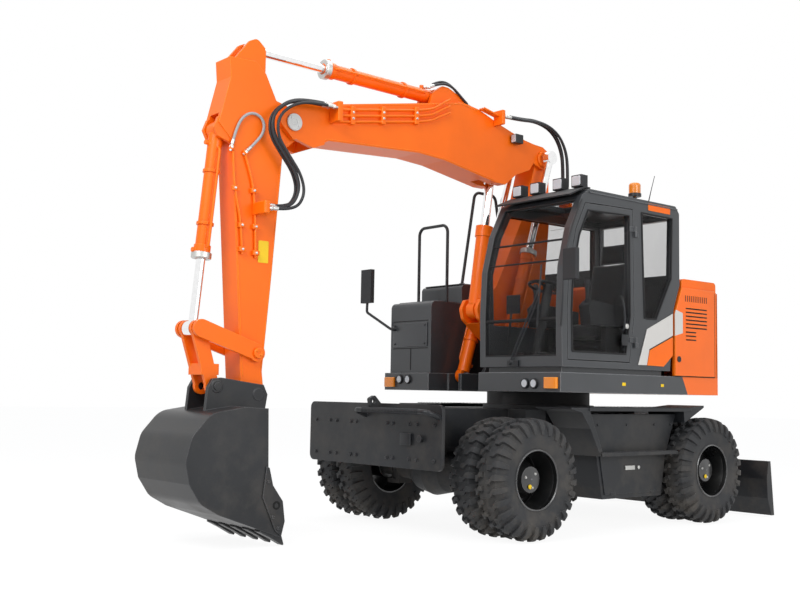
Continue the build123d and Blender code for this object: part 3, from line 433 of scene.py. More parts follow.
side_y, radius = tyre_skin(np.linspace(-1, 1, 41))
lining_y = np.linspace(1, -1, 9) * 0.085
carcass = hoop(np.stack([np.concatenate([side_y, lining_y]), np.concatenate([radius, np.full(9, 0.268)])], -1),
               ORIGIN, Y, 96)
LUGS = 28
kink = lambda t: 0.030 * np.clip((t - 0.28) / 0.14, 0, 1) + 0.012 * t
broad = lambda t: 0.044 + 0.018 * np.clip((t - 0.35) / 0.2, 0, 1) - 0.02 * np.clip((t - 0.8) / 0.2, 0, 1)
tall = lambda t: 0.030 - 0.016 * np.clip((t - 0.72) / 0.28, 0, 1)
tread = joined(carcass, turned_copies(lug(0.10, 0.72, kink, broad, tall), LUGS),
               turned_copies(lug(-0.10, -0.72, lambda t: -kink(t), broad, tall), LUGS, np.pi / LUGS))

rubber = paint("tyre_rubber", "tyre_rubber", (0.030, 0.031, 0.033), 0.62, dusty=0.55, wear_and_highlight=(0.060, 0.060, 0.062),
               relief=0.05, grain_scale=260, tone=0.2, radius=0.004)
# The rim's paint is near-black with a pale grey at its edges: a painted highlight for the bright arcs at the flanges.
# The blade's barrels and the cover bolts share it.
rim_with_painted_highlight = paint("rim_paint_painted_highlight", "black_paint", (0.007, 0.0075, 0.008), 0.20, dusty=0.08, coat=0.6, gloss=0.6,
            wear_and_highlight=(0.30, 0.30, 0.31), radius=0.004)
yellow = paint("yellow_mark", "amber_lens", (0.85, 0.55, 0.01), 0.4, dusty=0.05, relief=0.0)
dress(rim_with_painted_highlight, "hub_front_left", "hub_front_right", "hub_rear_left", "hub_rear_right")
# Outward distance from the machine's middle of: the two tyres, the rim's outer face.
TYRES, RIM_FACE = (1.130, 0.812), 1.239
flange = [(0, 0.2615), (0.010, 0.2630), (0.016, 0.2560), (0.012, 0.2470), (-0.03, 0.2440), (-0.03, 0.2490), (0, 0.2500)]
well = [(RIM_FACE - 0.03, 0.2478), (1.12, 0.236), (1.045, 0.222), (1.045, 0.214), (1.125, 0.226),
        (RIM_FACE - 0.03, 0.2440)]
# Bolts on a hub: name, distance outward, radius of their circle, angles, size and finish.
hub_bolts = (("wheel_nuts_", 0.996, 0.190, circle(10), 0.016, grey),
             ("cover_bolts_", 1.061, 0.148, circle(12) + np.pi / 12, 0.008, rim_with_painted_highlight),
             ("cover_screws_", 1.177, 0.070, (0.3, 2.4, 4.5), 0.010, zinc))
for corner, x, side in (("front_left", FRONT_AXLE, 1), ("front_right", FRONT_AXLE, -1), ("rear_left", REAR_AXLE, 1),
                        ("rear_right", REAR_AXLE, -1)):
    body, hub, outward = "wheel_" + corner, np.array([x, 0, AXLE_HEIGHT]), (0, side, 0)
    pair = repeated(tread, [(x, side * y, AXLE_HEIGHT) for y in TYRES])
    tyres = piece("tread_" + corner, pair, rubber, body, angle=30)
    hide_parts("tyres_" + corner)
    rings = [hoop(np.array(flange) * [side, 1] + [side * RIM_FACE, 0], hub, Y, 72),
             hoop(np.array(well) * [side, 1], hub, Y, 72)]
    piece("rim_flange_" + corner, rings, rim_with_painted_highlight, body)
    for name, y, circle_radius, angles, size, finish in hub_bolts:
        places = [hub + (circle_radius * math.cos(a), side * y, circle_radius * math.sin(a)) for a in angles]
        piece(name + corner, bolts(places, outward, size), finish, body)
    dome = [(0, 0.020), (0.006, 0.020), (0.010, 0.014), (0.010, 0.008)]
    plug = turned(dome, hub + (0.02, side * 1.180, -0.06), outward, 20)
    piece("filler_plug_" + corner, plug, yellow, body)
    valve = pipe([hub + (0.2, side * (1.10 + t), 0.10) for t in (0, 0.05, 0.09)], 0.006, 8)
    piece("valve_" + corner, valve, zinc, body)

# ------------------------------------------------------------------ steps and guards
# Folded steel treads with punched saw teeth, a lockable tool box and flat wheel guards, bolted to the frame.
# The upper tread lies over the box and the lower one beside it.
UPPER_TREAD, LOWER_TREAD, BOX_SIDE = 1.140, 0.730, 1.090


def on_side(outline, y, depth):
    """A sheet pressed out of an outline of (x, z) points in the plane of y."""
    return pressed(outline, (0, y, 0), X, Z, depth)


tooth = on_side([(0, 0), (0.020, 0), (0.010, 0.012)], 0, -0.004)
stud = turned([(0, 0.016), (0.004, 0.013)], ORIGIN, Z, 10)
for hand, side in SIDES:
    # Each tread: its height and the first and last x and the y values of its teeth, then of its studs.
    for name, shape, rows in (
            ("step_teeth_", tooth, ((UPPER_TREAD, -1.07, 0.44, 0.022, (0.80, 1.19)),
                                    (LOWER_TREAD, -0.825, 0.28, 0.022, (0.93, 1.20)))),
            ("step_studs_", stud, ((UPPER_TREAD, -1.03, 0.44, 0.07, (0.88, 0.96, 1.04, 1.12)),
                                   (LOWER_TREAD, -0.79, 0.28, 0.07, (1.0, 1.07, 1.14))))):
        places = [(x, side * y, z) for z, first, last, pitch, across in rows for x in np.arange(first, last, pitch)
                  for y in across]
        piece(name + hand, repeated(shape, places), black, "chassis")
    y, outward = side * BOX_SIDE, (0, side, 0)
    lid_outline = [(-0.70, 0.34), (0.13, 0.34), (0.20, 0.69), (0.20, 0.705), (-0.77, 0.705), (-0.77, 0.69)]
    lid = on_side(lid_outline, y, -side * 0.010)
    hinges = [slab((x, y, 0.335), (x + 0.07, y + side * 0.016, 0.36), 0.004) for x in (-0.62, -0.02)]
    piece("tool_box_lid_" + hand, [lid, *hinges], black, "chassis", bevel=0.002)
    handle = [slab((-0.30, y, 0.56), (-0.16, y + side * 0.022, 0.60), 0.006),
              turned([(0, 0.018), (0.020, 0.018), (0.022, 0.012)], (-0.36, y, 0.58), outward, 20)]
    piece("tool_box_latch_" + hand, handle, zinc, "chassis", bevel=0.002)
    guard_bolts = [(x, y, 0.98) for x in (-0.88, -0.62, -0.20, 0.22, 0.36)]
    piece("guard_bolts_" + hand, bolts(guard_bolts, outward, 0.010), black, "chassis")

# ------------------------------------------------------------------ blade
# A rolled mouldboard with a bolted cutting edge of hardened steel and ribs on its back, on two short arms.
# The bolts are sunk from the front, and their heads show low on the edge.
edge_bolts = [(-2.478, y, 0.06) for y in np.linspace(-1.15, 1.15, 12)]
piece("blade_bolts", bolts(edge_bolts, (-1, 0, 0), 0.014), black, "blade")
dress(rim_with_painted_highlight, "blade_barrels")

# ------------------------------------------------------------------ upper structure
# The revolving deck with its skirt, and behind it the counterweight, a single casting with a painted skin.
# The skirt is dark grey in front and turns to the body's orange behind a slanting line.
ORANGE, WHITE = (0.93, 0.150, 0.0015), (0.62, 0.60, 0.57)


def zone(material, colour, *planes):
    """Gives part of a finish another colour: where x*a + y*b + z*c is more than d, for each plane (a, b, c, d)."""
    tree = material.node_tree
    place = node(tree, "TexCoord").outputs["Object"]
    inside = None
    for a, b, c, d in planes:
        reach = node(tree, "VectorMath", {0: place, 1: (a, b, c)}, operation="DOT_PRODUCT").outputs["Value"]
        over = node(tree, "Math", {0: reach, 1: d + a * AT[0] + b * AT[1]}, operation="GREATER_THAN")
        inside = node(tree, "Math", {0: inside, 1: over}, operation="MULTIPLY") if inside else over
    shader = tree.nodes["Principled BSDF"]
    before = shader.inputs["Base Color"].links[0].from_socket
    feed(tree, shader, {"Base Color": mixed(tree, inside.outputs[0], before, colour)})
    return material


def body_paint(name, **changes):
    """The machine's orange, with what differs from one panel to the next."""
    usual = dict(roughness=0.34, dusty=0.05, coat=0.12, wear_and_highlight=(1.0, 0.27, 0.02), gloss=0.25, tone=0.07)
    return paint(name, "orange_paint", ORANGE, **{**usual, **changes})


orange = body_paint("orange_paint", radius=0.008)
skirt = paint("skirt_paint", "grey_paint", (0.045, 0.048, 0.052), 0.30, dusty=0.12, coat=0.25, wear_and_highlight=(0.30, 0.31, 0.32),
              radius=0.010)
zone(skirt, ORANGE, (-1, 0, 0.5, 1.625), (-1, 0, 0, 0.80))
hood = zone(body_paint("hood_paint"), (0.013, 0.014, 0.016), (0, 0, 1, 2.425))
plastic = paint("cab_plastic", "cab_plastic", (0.018, 0.019, 0.021), 0.48, dusty=0.05, relief=0.06, grain_scale=420,
                wear_and_highlight=(0.05, 0.05, 0.055))
dress(skirt, "upper_frame")
dress(orange, "side_panels", "counterweight")
dress(hood, "engine_hood")
dress(grey, "right_boxes")
dress(black, "handrails", "engine")
dress(plastic, "mirrors")
bezel = [(0.0, 0.047), (0.012, 0.047), (0.022, 0.043), (0.022, 0.036), (0.017, 0.035)]
for name, y, z in (("left_80", 0.80, 1.35), ("left_91", 0.91, 1.35), ("right_84", -0.84, 1.385),
                   ("right_97", -0.97, 1.385)):
    piece("base_lamp_" + name + "_bezel", turned(bezel, (0.8805, y, z), X), black, HOUSE)
markers = [slab((-0.60, 1.219, 1.345), (-0.555, 1.2235, 1.372), 0.004),
           slab((-0.02, 1.219, 1.345), (0.03, 1.2235, 1.375), 0.004)]
piece("skirt_markers", markers, yellow, HOUSE)

# Engine-bay cover on the left: a pressed door with cooling slots, a round latch and a white corner field.
COVER_FRONT, COVER_REAR, COVER_FOOT, COVER_FACE = -0.775, -1.435, 1.458, 1.2318
cover = zone(body_paint("cover_paint", roughness=0.30, coat=0.3), WHITE, (1, 0, 0, -0.895), (0.25, 0, 1, 1.655),
             (0.25, 0, -1, -2.30))
leaf = [(COVER_FRONT, COVER_FOOT), (COVER_FRONT, 2.06), (-0.885, 2.33), (COVER_REAR, 2.33), (COVER_REAR, COVER_FOOT)]
piece("engine_cover", on_side(leaf, 1.2203, -0.012), cover, HOUSE, bevel=0.004)
filler = [(COVER_FRONT, COVER_FOOT), (COVER_FRONT, 2.06), (-0.885, 2.32), (-0.885, COVER_FOOT)]
piece("engine_cover_edge", on_side(filler, 1.19, -0.0303), orange, HOUSE)
slot_rows = [(first, z) for first, low, rows in ((-1.300, 1.930, 6), (-1.115, 1.810, 3))
             for z in low + 0.038 * np.arange(rows)]
# The cooling slots are thin near-black strips on the cover's face: painted shade for the openings.
slot_shade = [slab((x, COVER_FACE, z), (-0.945, 1.2332, z + 0.014), 0.004) for x, z in slot_rows]
slot_shade += [slab((x, COVER_FACE, 2.195), (x + 0.012, 1.2332, 2.255), 0.004) for x in -1.30 + 0.032 * np.arange(12)]
# A near-black for painted shade: it stands in for the shade inside slots, holes, seams and folds.
painted_shade = paint("painted_shade_black", "black_paint", (0.004, 0.004, 0.004), 0.7, dusty=0.0, relief=0.0, wear_and_highlight=(0.006, 0.006, 0.006))
piece("engine_cover_slot_shade", slot_shade, painted_shade, HOUSE)
brows = [pipe([(x, 1.2325, z + 0.016), (-0.945, 1.2325, z + 0.016)], 0.0035, 8) for x, z in slot_rows]
piece("engine_cover_brows", brows, orange, HOUSE)
dish = [(0, 0.030), (0.006, 0.030), (0.008, 0.024), (0.004, 0.022), (0.004, 0.010)]
latch = turned(dish, (-0.83, 1.232, 1.62), Y, 28)
piece("engine_cover_latch", latch, black, HOUSE)
# The seams round the cover are near-black strips: painted shade in the gaps between the panels.
seam_shade = [slab((COVER_REAR - 0.0025, 1.2195, 1.455), (COVER_REAR + 0.0025, 1.2330, 2.31), 0.001),
        slab((COVER_REAR, 1.2195, 1.4515), (COVER_FRONT, 1.2328, COVER_FOOT), 0.001)]
piece("panel_seam_shade", seam_shade, painted_shade, HOUSE)
# The right cover's slots are near-black strips: painted shade for the openings.
vent_shade = [slab((-1.30, -1.2325, z), (-0.60, -1.2188, z + 0.014), 0.004) for z in 1.80 + 0.045 * np.arange(9)]
piece("right_cover_slot_shade", vent_shade, painted_shade, HOUSE)

# Panels on the cab's side behind the door: a white band over an orange field, moulded and pressed on.
CAB_SIDE = 1.2195
band = [(-0.200, 1.545), (-0.335, 1.890), (-0.735, 2.060), (-0.735, 1.845), (-0.365, 1.700), (-0.325, 1.545)]
field = [(-0.335, 1.545), (-0.375, 1.690), (-0.735, 1.832), (-0.735, 1.650), (-0.590, 1.540)]
white = paint("white_panel_paint", "", WHITE, 0.28, dusty=0.05, coat=0.3, tone=0.04, wear_and_highlight=(0.7, 0.7, 0.68))
piece("quarter_band", on_side(band, CAB_SIDE, -0.014), white, HOUSE, bevel=0.005)
piece("quarter_field", on_side(field, CAB_SIDE, -0.012), orange, HOUSE, bevel=0.005)

# ------------------------------------------------------------------ cab
# Bent steel pillars and pressings welded into a cage and painted dark grey, with glass bonded in on black rubber.
# Rails, wiper, grips and lamps are screwed on; the aerial stands in a rubber foot.


def smeared(tree, pattern, low, high):
    """A grey between low and high that follows a pattern."""
    tint = node(tree, "MapRange", {"Value": pattern, "To Min": low, "To Max": high})
    return node(tree, "CombineColor", {0: tint, 1: tint, 2: tint})


dress(grey, "cab_shell", "cab_door")
dress(plastic, "consoles", "steering_column", "roof_lamps")
glass, tree, shader = blank("cab_glazing", "cab_glazing")
streak = noise(tree, Scale=2.5, Detail=5.0)
film = node(tree, "MapRange", {"Value": streak, "From Min": 0.35, "From Max": 0.8, "To Min": 0.0, "To Max": 0.05})
feed(tree, shader, {"Transmission Weight": 1.0, "IOR": 1.12, "Roughness": film,
                    "Base Color": smeared(tree, streak, 0.66, 0.80)})
dress(glass, "cab_glass", "cab_door_glass")
seal = paint("window_rubber", "cab_plastic", (0.006, 0.006, 0.007), 0.6, dusty=0.0, relief=0.02,
             wear_and_highlight=(0.015, 0.015, 0.016))


def framed(outline, y, radius=0.009):
    """A rubber bead round a window: a round cord along the closed outline of (x, z) points in the plane of y."""
    p = np.asarray(outline, float)
    runs = np.concatenate([np.linspace(a, b, 6, endpoint=False) for a, b in zip(p, np.roll(p, -1, 0))] + [p[:1]])
    return pipe(np.insert(runs, 1, y, axis=1), radius, 8)


def eased(points, steps=8):
    """A smooth path near a row of points: each stretch is a quadratic curve between the middles of two runs, bent
    by the point between them; the first and last points are kept."""
    p = np.asarray(points, float)
    mids = (p[:-1] + p[1:]) / 2
    mids[0], mids[-1] = p[0], p[-1]
    t = np.linspace(0, 1, steps, endpoint=False)[None, :, None]
    a, b, c = mids[:-1, None], p[1:-1, None], mids[1:, None]
    return np.concatenate([((1 - t) ** 2 * a + 2 * t * (1 - t) * b + t ** 2 * c).reshape(-1, 3), p[-1:]])


quarter = [(-0.26, 3.00), (-0.74, 3.00), (-0.72, 2.40), (-0.48, 1.99), (-0.30, 1.99)]
door_window = [(0.730, 1.640), (0.740, 2.000), (0.720, 2.360), (0.640, 2.690), (0.520, 2.930), (-0.070, 2.950),
               (-0.085, 2.000), (-0.020, 1.640)]
right_window = [(0.740, 1.90), (0.760, 2.38), (0.650, 2.74), (0.520, 2.98), (-0.740, 2.99), (-0.740, 1.90)]
door_edge = [(0.797, 1.556), (0.806, 2.000), (0.786, 2.382), (0.697, 2.742), (0.565, 3.004), (-0.134, 3.024),
             (-0.156, 2.000), (-0.086, 1.556)]
piece("cab_window_beads", [framed(quarter, 1.221), framed(right_window, 0.189)], seal, HOUSE)
piece("door_window_bead", framed(door_window, 1.221), seal, "cab_door")
piece("door_seal", framed(door_edge, 1.214, 0.006), seal, HOUSE)

# The windscreen's two panes lie a little inside the skin, on this front profile of the cab.
screen_x, screen_z = np.array([0.8555, 0.862, 0.842, 0.752, 0.592]), np.array([1.60, 2.00, 2.40, 2.75, 3.02])
rails = [pipe([(np.interp(z, screen_z, screen_x) - 0.012, y, z) for y in np.linspace(0.262, 1.148, 8)], r, 8)
         for z, r in ((2.645, 0.010), (2.455, 0.008), (1.925, 0.016))]
piece("windscreen_rails", rails, seal, HOUSE)
rise = np.linspace(1.60, 3.02, 24)
beads = [pipe(np.stack([np.interp(rise, screen_z, screen_x) - 0.004, np.full(24, y), rise], -1), 0.010, 8)
         for y in (0.258, 1.152)]
sill = pipe([(0.853, y, 1.600) for y in np.linspace(0.26, 1.15, 6)], 0.011, 8)
piece("windscreen_bead", [*beads, sill], seal, HOUSE)
arms = (([(0.878, 0.60, 1.54), (0.885, 0.66, 1.66), (0.885, 0.80, 1.90), (0.880, 0.95, 2.19)], 0.0065),
        ([(0.878, 0.64, 1.54), (0.885, 0.70, 1.66), (0.885, 0.84, 1.90), (0.880, 0.97, 2.16)], 0.005),
        ([(0.874, 0.93, 1.86), (0.870, 0.955, 2.18), (0.858, 0.965, 2.42)], 0.008))
wiper = [pipe(eased(path), r, 8) for path, r in arms]
wiper += [turned([(0, 0.026), (0.02, 0.026), (0.03, 0.018)], (0.866, 0.61, 1.545), X, 20),
          slab((0.862, 0.56, 1.50), (0.884, 0.70, 1.56), 0.006)]
piece("wiper", wiper, black, HOUSE)
pull = [pipe(eased([(0.02, 1.215, 1.86), (0.02, 1.252, 1.88), (0.05, 1.252, 2.16), (0.05, 1.215, 2.18)]), 0.009),
        slab((-0.045, 1.2185, 1.72), (0.045, 1.235, 1.82), 0.008)]
piece("door_pull", pull, black, "cab_door")
grip = [(0.60, 1.215, 3.02), (0.78, 1.262, 2.78), (0.89, 1.262, 2.42), (0.90, 1.255, 2.00), (0.87, 1.212, 1.86)]
piece("front_pillar_grip", pipe(eased(grip), 0.011), black, HOUSE)
piece("door_lock", turned([(0, 0.024), (0.012, 0.024), (0.016, 0.016)], (-0.03, 1.2205, 1.90), Y, 24), zinc, "cab_door")
gutter = [pipe([(0.50, 1.224, 3.098), (-0.82, 1.224, 3.098)], 0.008, 8),
          pipe([(-0.84, y, 3.10) for y in (0.21, 1.20)], 0.009, 8)]
piece("roof_gutter", gutter, grey, HOUSE)
piece("roof_pan", slab((-0.72, 0.30, 3.126), (-0.16, 1.11, 3.146), 0.08), black, HOUSE, bevel=0.008)
corner_plate = pressed(rounded(0.345, 0.072, 0.010), (-0.535, CAB_SIDE, 3.072), X, Z, -0.005)
piece("roof_corner_plate", corner_plate, orange, HOUSE)
aerial = [pipe([(-0.52, 1.10, 3.13), (-0.56, 1.11, 3.28), (-0.60, 1.12, 3.42)], [0.006, 0.004, 0.003], 8),
          turned([(0, 0.02), (0.02, 0.016), (0.03, 0.008)], (-0.52, 1.10, 3.128), Z, 16)]
piece("aerial", aerial, black, HOUSE)

# Roof work lamps: die-cast housings with finned backs and pressed glass.
LAMP_Y = (0.33, 0.56, 0.85, 1.08)
lens = paint("lamp_lens", "lamp_lens", (0.55, 0.57, 0.60), 0.12, dusty=0.0, coat=0.6, relief=0.3, grain_scale=60,
             wear_and_highlight=(0.9, 0.92, 0.95))
amber = paint("amber_lens", "amber_lens", (0.85, 0.25, 0.01), 0.15, dusty=0.0, coat=0.6, relief=0.2, grain_scale=60,
              wear_and_highlight=(1.0, 0.5, 0.1))
dress(lens, "base_lamps")
lamp_fronts = [pressed(rounded(0.100, 0.090, 0.012), (0.5205, y, 3.220), Y, Z, 0.006) for y in LAMP_Y]
piece("roof_lamp_lenses", lamp_fronts, lens, HOUSE, bevel=0.002)
fins = [slab((0.416, y - 0.003, 3.175), (0.432, y + 0.003, 3.265), 0.002) for lamp in LAMP_Y
        for y in lamp + 0.02 * np.arange(-2, 3)]
piece("roof_lamp_fins", fins, black, HOUSE)
side_lamps = [slab((0.8800, s * 1.12 - 0.075, 1.305), (0.9120, s * 1.12 + 0.075, 1.405), 0.008) for s in (1, -1)]
piece("indicator_lenses", side_lamps, amber, HOUSE, bevel=0.004)

# Beacon: an amber cup screwed to a black foot on a bent stalk.
dress(amber, "beacon")
foot = [turned([(0, 0.030), (0.05, 0.026), (0.13, 0.020)], (-0.70, 0.80, 3.132), Z, 20),
        turned([(0, 0.066), (0.030, 0.066), (0.034, 0.060)], (-0.70, 0.80, 3.268), Z, 32)]
piece("beacon_foot", foot, black, HOUSE)

# Mirrors: moulded backs with heated glass, on tube arms.
mirror_glass = paint("mirror_glass", "chrome_rod", (0.72, 0.74, 0.76), 0.04, metallic=1.0, dusty=0.0, relief=0.0)
piece("right_mirror_glass", slab((0.876, -1.590, 2.215), (0.8805, -1.440, 2.545), 0.002), mirror_glass, HOUSE)

# ------------------------------------------------------------------ seat
# A sprung seat: two foam cushions in woven cloth with sewn channels, a head rest, and a bellows over the spring.
# Beside it stand the levers in moulded boots, and the floor has a ribbed rubber mat.
cloth = paint("seat_cloth", "seat_cloth", (0.012, 0.013, 0.015), 0.85, dusty=0.0, relief=0.12, grain_scale=900,
              wear_and_highlight=(0.02, 0.021, 0.024), radius=0.012)
cloth.node_tree.nodes["Principled BSDF"].inputs["Sheen Weight"].default_value = 0.4


def cushion(middle, u, v, thick, width, length, channels, name, steps=44):
    """A crowned closed pad: over a square of (a, b) from -1 to 1, both faces rise to the power of a rounded hump,
    (1 - a^6)(1 - b^6), and dip along the sewn channels; the sides pull in between the corners."""
    u, v = np.asarray(u, float) / np.linalg.norm(u), np.asarray(v, float) / np.linalg.norm(v)
    w = np.cross(u, v)
    a, b = np.meshgrid(np.linspace(-1, 1, steps), np.linspace(-1, 1, steps), indexing="ij")
    hump = ((1 - a ** 6) * (1 - b ** 6)) ** 0.45
    dip = sum(np.exp(-((b - c) / 0.035) ** 2) for c in channels) * 0.10
    dip = dip + np.exp(-((np.abs(a) - 0.62) / 0.03) ** 2) * 0.10
    tuck_a, tuck_b = 1 - 0.035 * (1 - b ** 2), 1 - 0.035 * (1 - a ** 2)
    level = np.asarray(middle) + (a * tuck_a * width / 2)[..., None] * u + (b * tuck_b * length / 2)[..., None] * v
    top = level + ((hump * (1 - dip)) * thick * 0.62)[..., None] * w
    under = level - (hump * thick * 0.38)[..., None] * w
    i, j = np.meshgrid(np.arange(steps - 1) * steps, np.arange(steps - 1), indexing="ij")
    quads = np.stack([i + j, i + j + 1, i + j + 1 + steps, i + j + steps], -1).reshape(-1, 4)
    points = np.concatenate([top.reshape(-1, 3), under.reshape(-1, 3)])
    made = piece(name, (points, [quads, quads[:, ::-1] + steps * steps]), cloth, None, angle=60)
    face_outward(made.data, weld=0.0004)
    finer = made.modifiers.new("finer", "SUBSURF")
    finer.levels = finer.render_levels = 1
    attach(made, HOUSE)
    return made


low_pad = cushion((-0.15, 0.71, 1.845), Y, (-1, 0, 0), 0.15, 0.50, 0.52, (-0.45, 0.1, 0.6), "seat_cushion")
cushion((-0.385, 0.71, 2.24), (0, -1, 0), (-0.13, 0, 0.72), 0.13, 0.46, 0.66, (-0.55, -0.15, 0.3), "seat_back")
cushion((-0.475, 0.71, 2.66), (0, -1, 0), (-0.10, 0, 0.70), 0.10, 0.30, 0.20, (), "seat_head_rest", 28)
bellows = stacked(np.stack([np.pad(rounded(size, size, 0.05), ((0, 0), (0, 1))) + [-0.17, 0.71, 1.562 + 0.0215 * k]
                            for k, size in enumerate([0.34, 0.38] * 5 + [0.34])]))
frame_rails = [slab((-0.38, 0.47, 1.775), (0.06, 0.50, 1.80), 0.006),
               slab((-0.38, 0.92, 1.775), (0.06, 0.95, 1.80), 0.006),
               slab((-0.40, 0.48, 1.795), (0.06, 0.94, 1.815), 0.02)]
seat_base = piece("seat_base", [bellows, *frame_rails], plastic, HOUSE, bevel=0.003)
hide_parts("seat")
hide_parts("seat")
LEVER_Y = (0.385, 1.035)
levers = [turned([(0, 0.040), (0.02, 0.034), (0.04, 0.026), (0.05, 0.020)], (0.300, y, 2.105), Z, 20) for y in LEVER_Y]
levers += [turned([(0, 0.022), (0.05, 0.031), (0.085, 0.026), (0.10, 0.014)], (0.3045, y, 2.225), (0.05, 0, 1), 20)
           for y in LEVER_Y]
piece("lever_boots", levers, plastic, HOUSE)
screen = [slab((0.565, 0.262, 2.02), (0.590, 0.43, 2.20), 0.008),
          pipe([(0.60, 0.30, 1.70), (0.585, 0.33, 2.05)], 0.012, 10)]
piece("monitor", screen, plastic, HOUSE, bevel=0.003)
piece("floor_mat", slab((-0.55, 0.27, 1.5605), (0.70, 1.14, 1.568), 0.03), seal, HOUSE)
lining = [slab((-0.74, 0.30, 1.565), (-0.60, 1.12, 2.02), 0.02), slab((-0.735, 0.30, 2.02), (-0.66, 1.12, 2.10), 0.02)]
piece("rear_lining", lining, plastic, HOUSE, bevel=0.006)

# ------------------------------------------------------------------ right side boxes
# Fuel and battery boxes in sheet steel with pressed lids, a filler cap and rubber pads to stand on.
# The front has a bolted panel between two folds of the sheet.
lids = [slab((-0.40, -1.165, 2.3803), (0.40, -0.565, 2.390), 0.03),
        slab((0.44, -1.165, 2.1803), (0.76, -0.565, 2.190), 0.03)]
piece("box_lids", lids, grey, HOUSE, bevel=0.004)
# The two folds and the seam are near-black strips: painted shade in the creases and the gap.
fold_shade = [slab((0.8403, -1.14, z), (0.8445, -0.59, z + 0.006), 0.001) for z in (1.70, 1.98)]
piece("box_front_seam_shade", [*fold_shade, slab((0.8403, -0.86, 1.48), (0.8440, -0.852, 1.70), 0.001)], painted_shade, HOUSE)
piece("box_front_panel", slab((0.8403, -1.13, 1.72), (0.8520, -0.60, 1.965), 0.003), grey, HOUSE, bevel=0.005)
piece("box_bolts", bolts([(0.852, y, z) for y in (-1.10, -0.63) for z in (1.75, 1.935)], X, 0.009), black, HOUSE)
cap = turned([(0, 0.055), (0.02, 0.055), (0.028, 0.046), (0.030, 0.02)], (0.0, -0.86, 2.390), Z, 32)
piece("filler_cap", cap, black, HOUSE)
piece("walk_pads", [slab((x, -0.81, 2.3905), (x + 0.10, -0.70, 2.400), 0.006) for x in (-0.25, 0.10)], black, HOUSE)

# ------------------------------------------------------------------ booms and arm
# Box-section booms welded from plate and painted orange, with cast bosses at the pins. Each pin is held by a
# plate with two bolts.
dress(orange, "lower_boom", "upper_boom", "arm", "side_links", "main_link", "boom_barrels", "position_barrel",
      "arm_barrel", "bucket_barrel")
chrome, tree, shader = blank("chrome_rod", "chrome_rod")
lines = noise(tree, Scale=30.0, Detail=4.0)
polish = node(tree, "MapRange", {"Value": lines, "To Min": 0.05, "To Max": 0.22})
feed(tree, shader, {"Metallic": 1.0, "Roughness": polish, "Base Color": smeared(tree, lines, 0.78, 0.94)})
dress(chrome, "boom_rods", "position_rod", "arm_rod", "bucket_rod", "blade_rods")
pale = paint("bright_washer", "grey_paint", (0.62, 0.62, 0.60), 0.35, dusty=0.0, relief=0.02, wear_and_highlight=(0.8, 0.8, 0.8))

# Caps over the pins' ends, each with its keeper plate and two bolts: name, x, z, y, outward, radius, body, finish.
for name, x, z, y, s, radius, body, finish in (
        ("tip_pin_cover", 2.93, 3.54, 0.008, 1, 0.075, "upper_boom", pale),
        ("tip_pin_cover_right", 2.93, 3.54, -0.348, -1, 0.075, "upper_boom", orange),
        ("elbow_pin_cover", -0.20, 3.70, 0.006, 1, 0.085, "upper_boom", orange),
        ("elbow_pin_cover_right", -0.20, 3.70, -0.346, -1, 0.085, "upper_boom", orange),
        ("link_pin_cover", 3.22, 1.55, -0.002, 1, 0.045, "arm", orange),
        ("bucket_pin_ring", 3.21, 1.21, -0.052, 1, 0.060, "arm", orange)):
    cap = [(0, radius), (0.010, radius), (0.016, radius * 0.90), (0.016, radius * 0.35), (0.009, radius * 0.30)]
    disc = turned(cap, (x, y, z), (0, s, 0), 40)
    heads = [(x + radius * 0.62 * math.cos(a), y + s * 0.016, z + radius * 0.62 * math.sin(a))
             for a in (0.7, 0.7 + math.pi)]
    piece(name, [disc, bolts(heads, (0, s, 0), 0.009)], finish, body)


def bead(line, y, radius=0.005):
    """A weld bead: a thin round run whose radius ripples every few millimetres."""
    p = np.asarray(line, float)
    steps = [np.linspace(a, b, max(2, int(np.linalg.norm(b - a) / 0.012)), endpoint=False)
             for a, b in zip(p[:-1], p[1:])]
    run = np.concatenate(steps + [p[-1:]])
    ripple = radius * (1 + 0.35 * np.sin(np.arange(len(run)) * 2.1))
    return pipe(np.insert(run, 1, y, axis=1), ripple, 6)


# Weld seams: a bead along each chord of the boom's and the arm's side plates.
boom_chords = ([(2.60, 3.445), (2.54, 3.455), (1.51, 3.515), (1.18, 3.495), (0.50, 3.380)],
               [(2.66, 3.735), (0.97, 4.072), (0.76, 4.045)])
arm_chords = [(3.02, 3.15), (3.09, 2.22), (3.16, 1.42)], [(3.49, 3.28), (3.335, 1.36)]
piece("boom_welds", [bead(chord, y) for y in (0.0, -0.34) for chord in boom_chords], orange, "upper_boom")
piece("arm_welds", [bead(chord, y) for y in (-0.052, -0.288) for chord in arm_chords], orange, "arm")
plate = pressed(rounded(0.10, 0.185, 0.008), (3.17, -0.0515, 2.40), X, Z, -0.0035)
piece("arm_blank_plate", plate, yellow, "arm")

# ------------------------------------------------------------------ cylinders
# Honed tube with a forged eye and a chromed rod. The gland at the barrel's mouth is a plated ring, and a steel
# feed line in two clamps runs along the barrel to it.
MID = -0.170


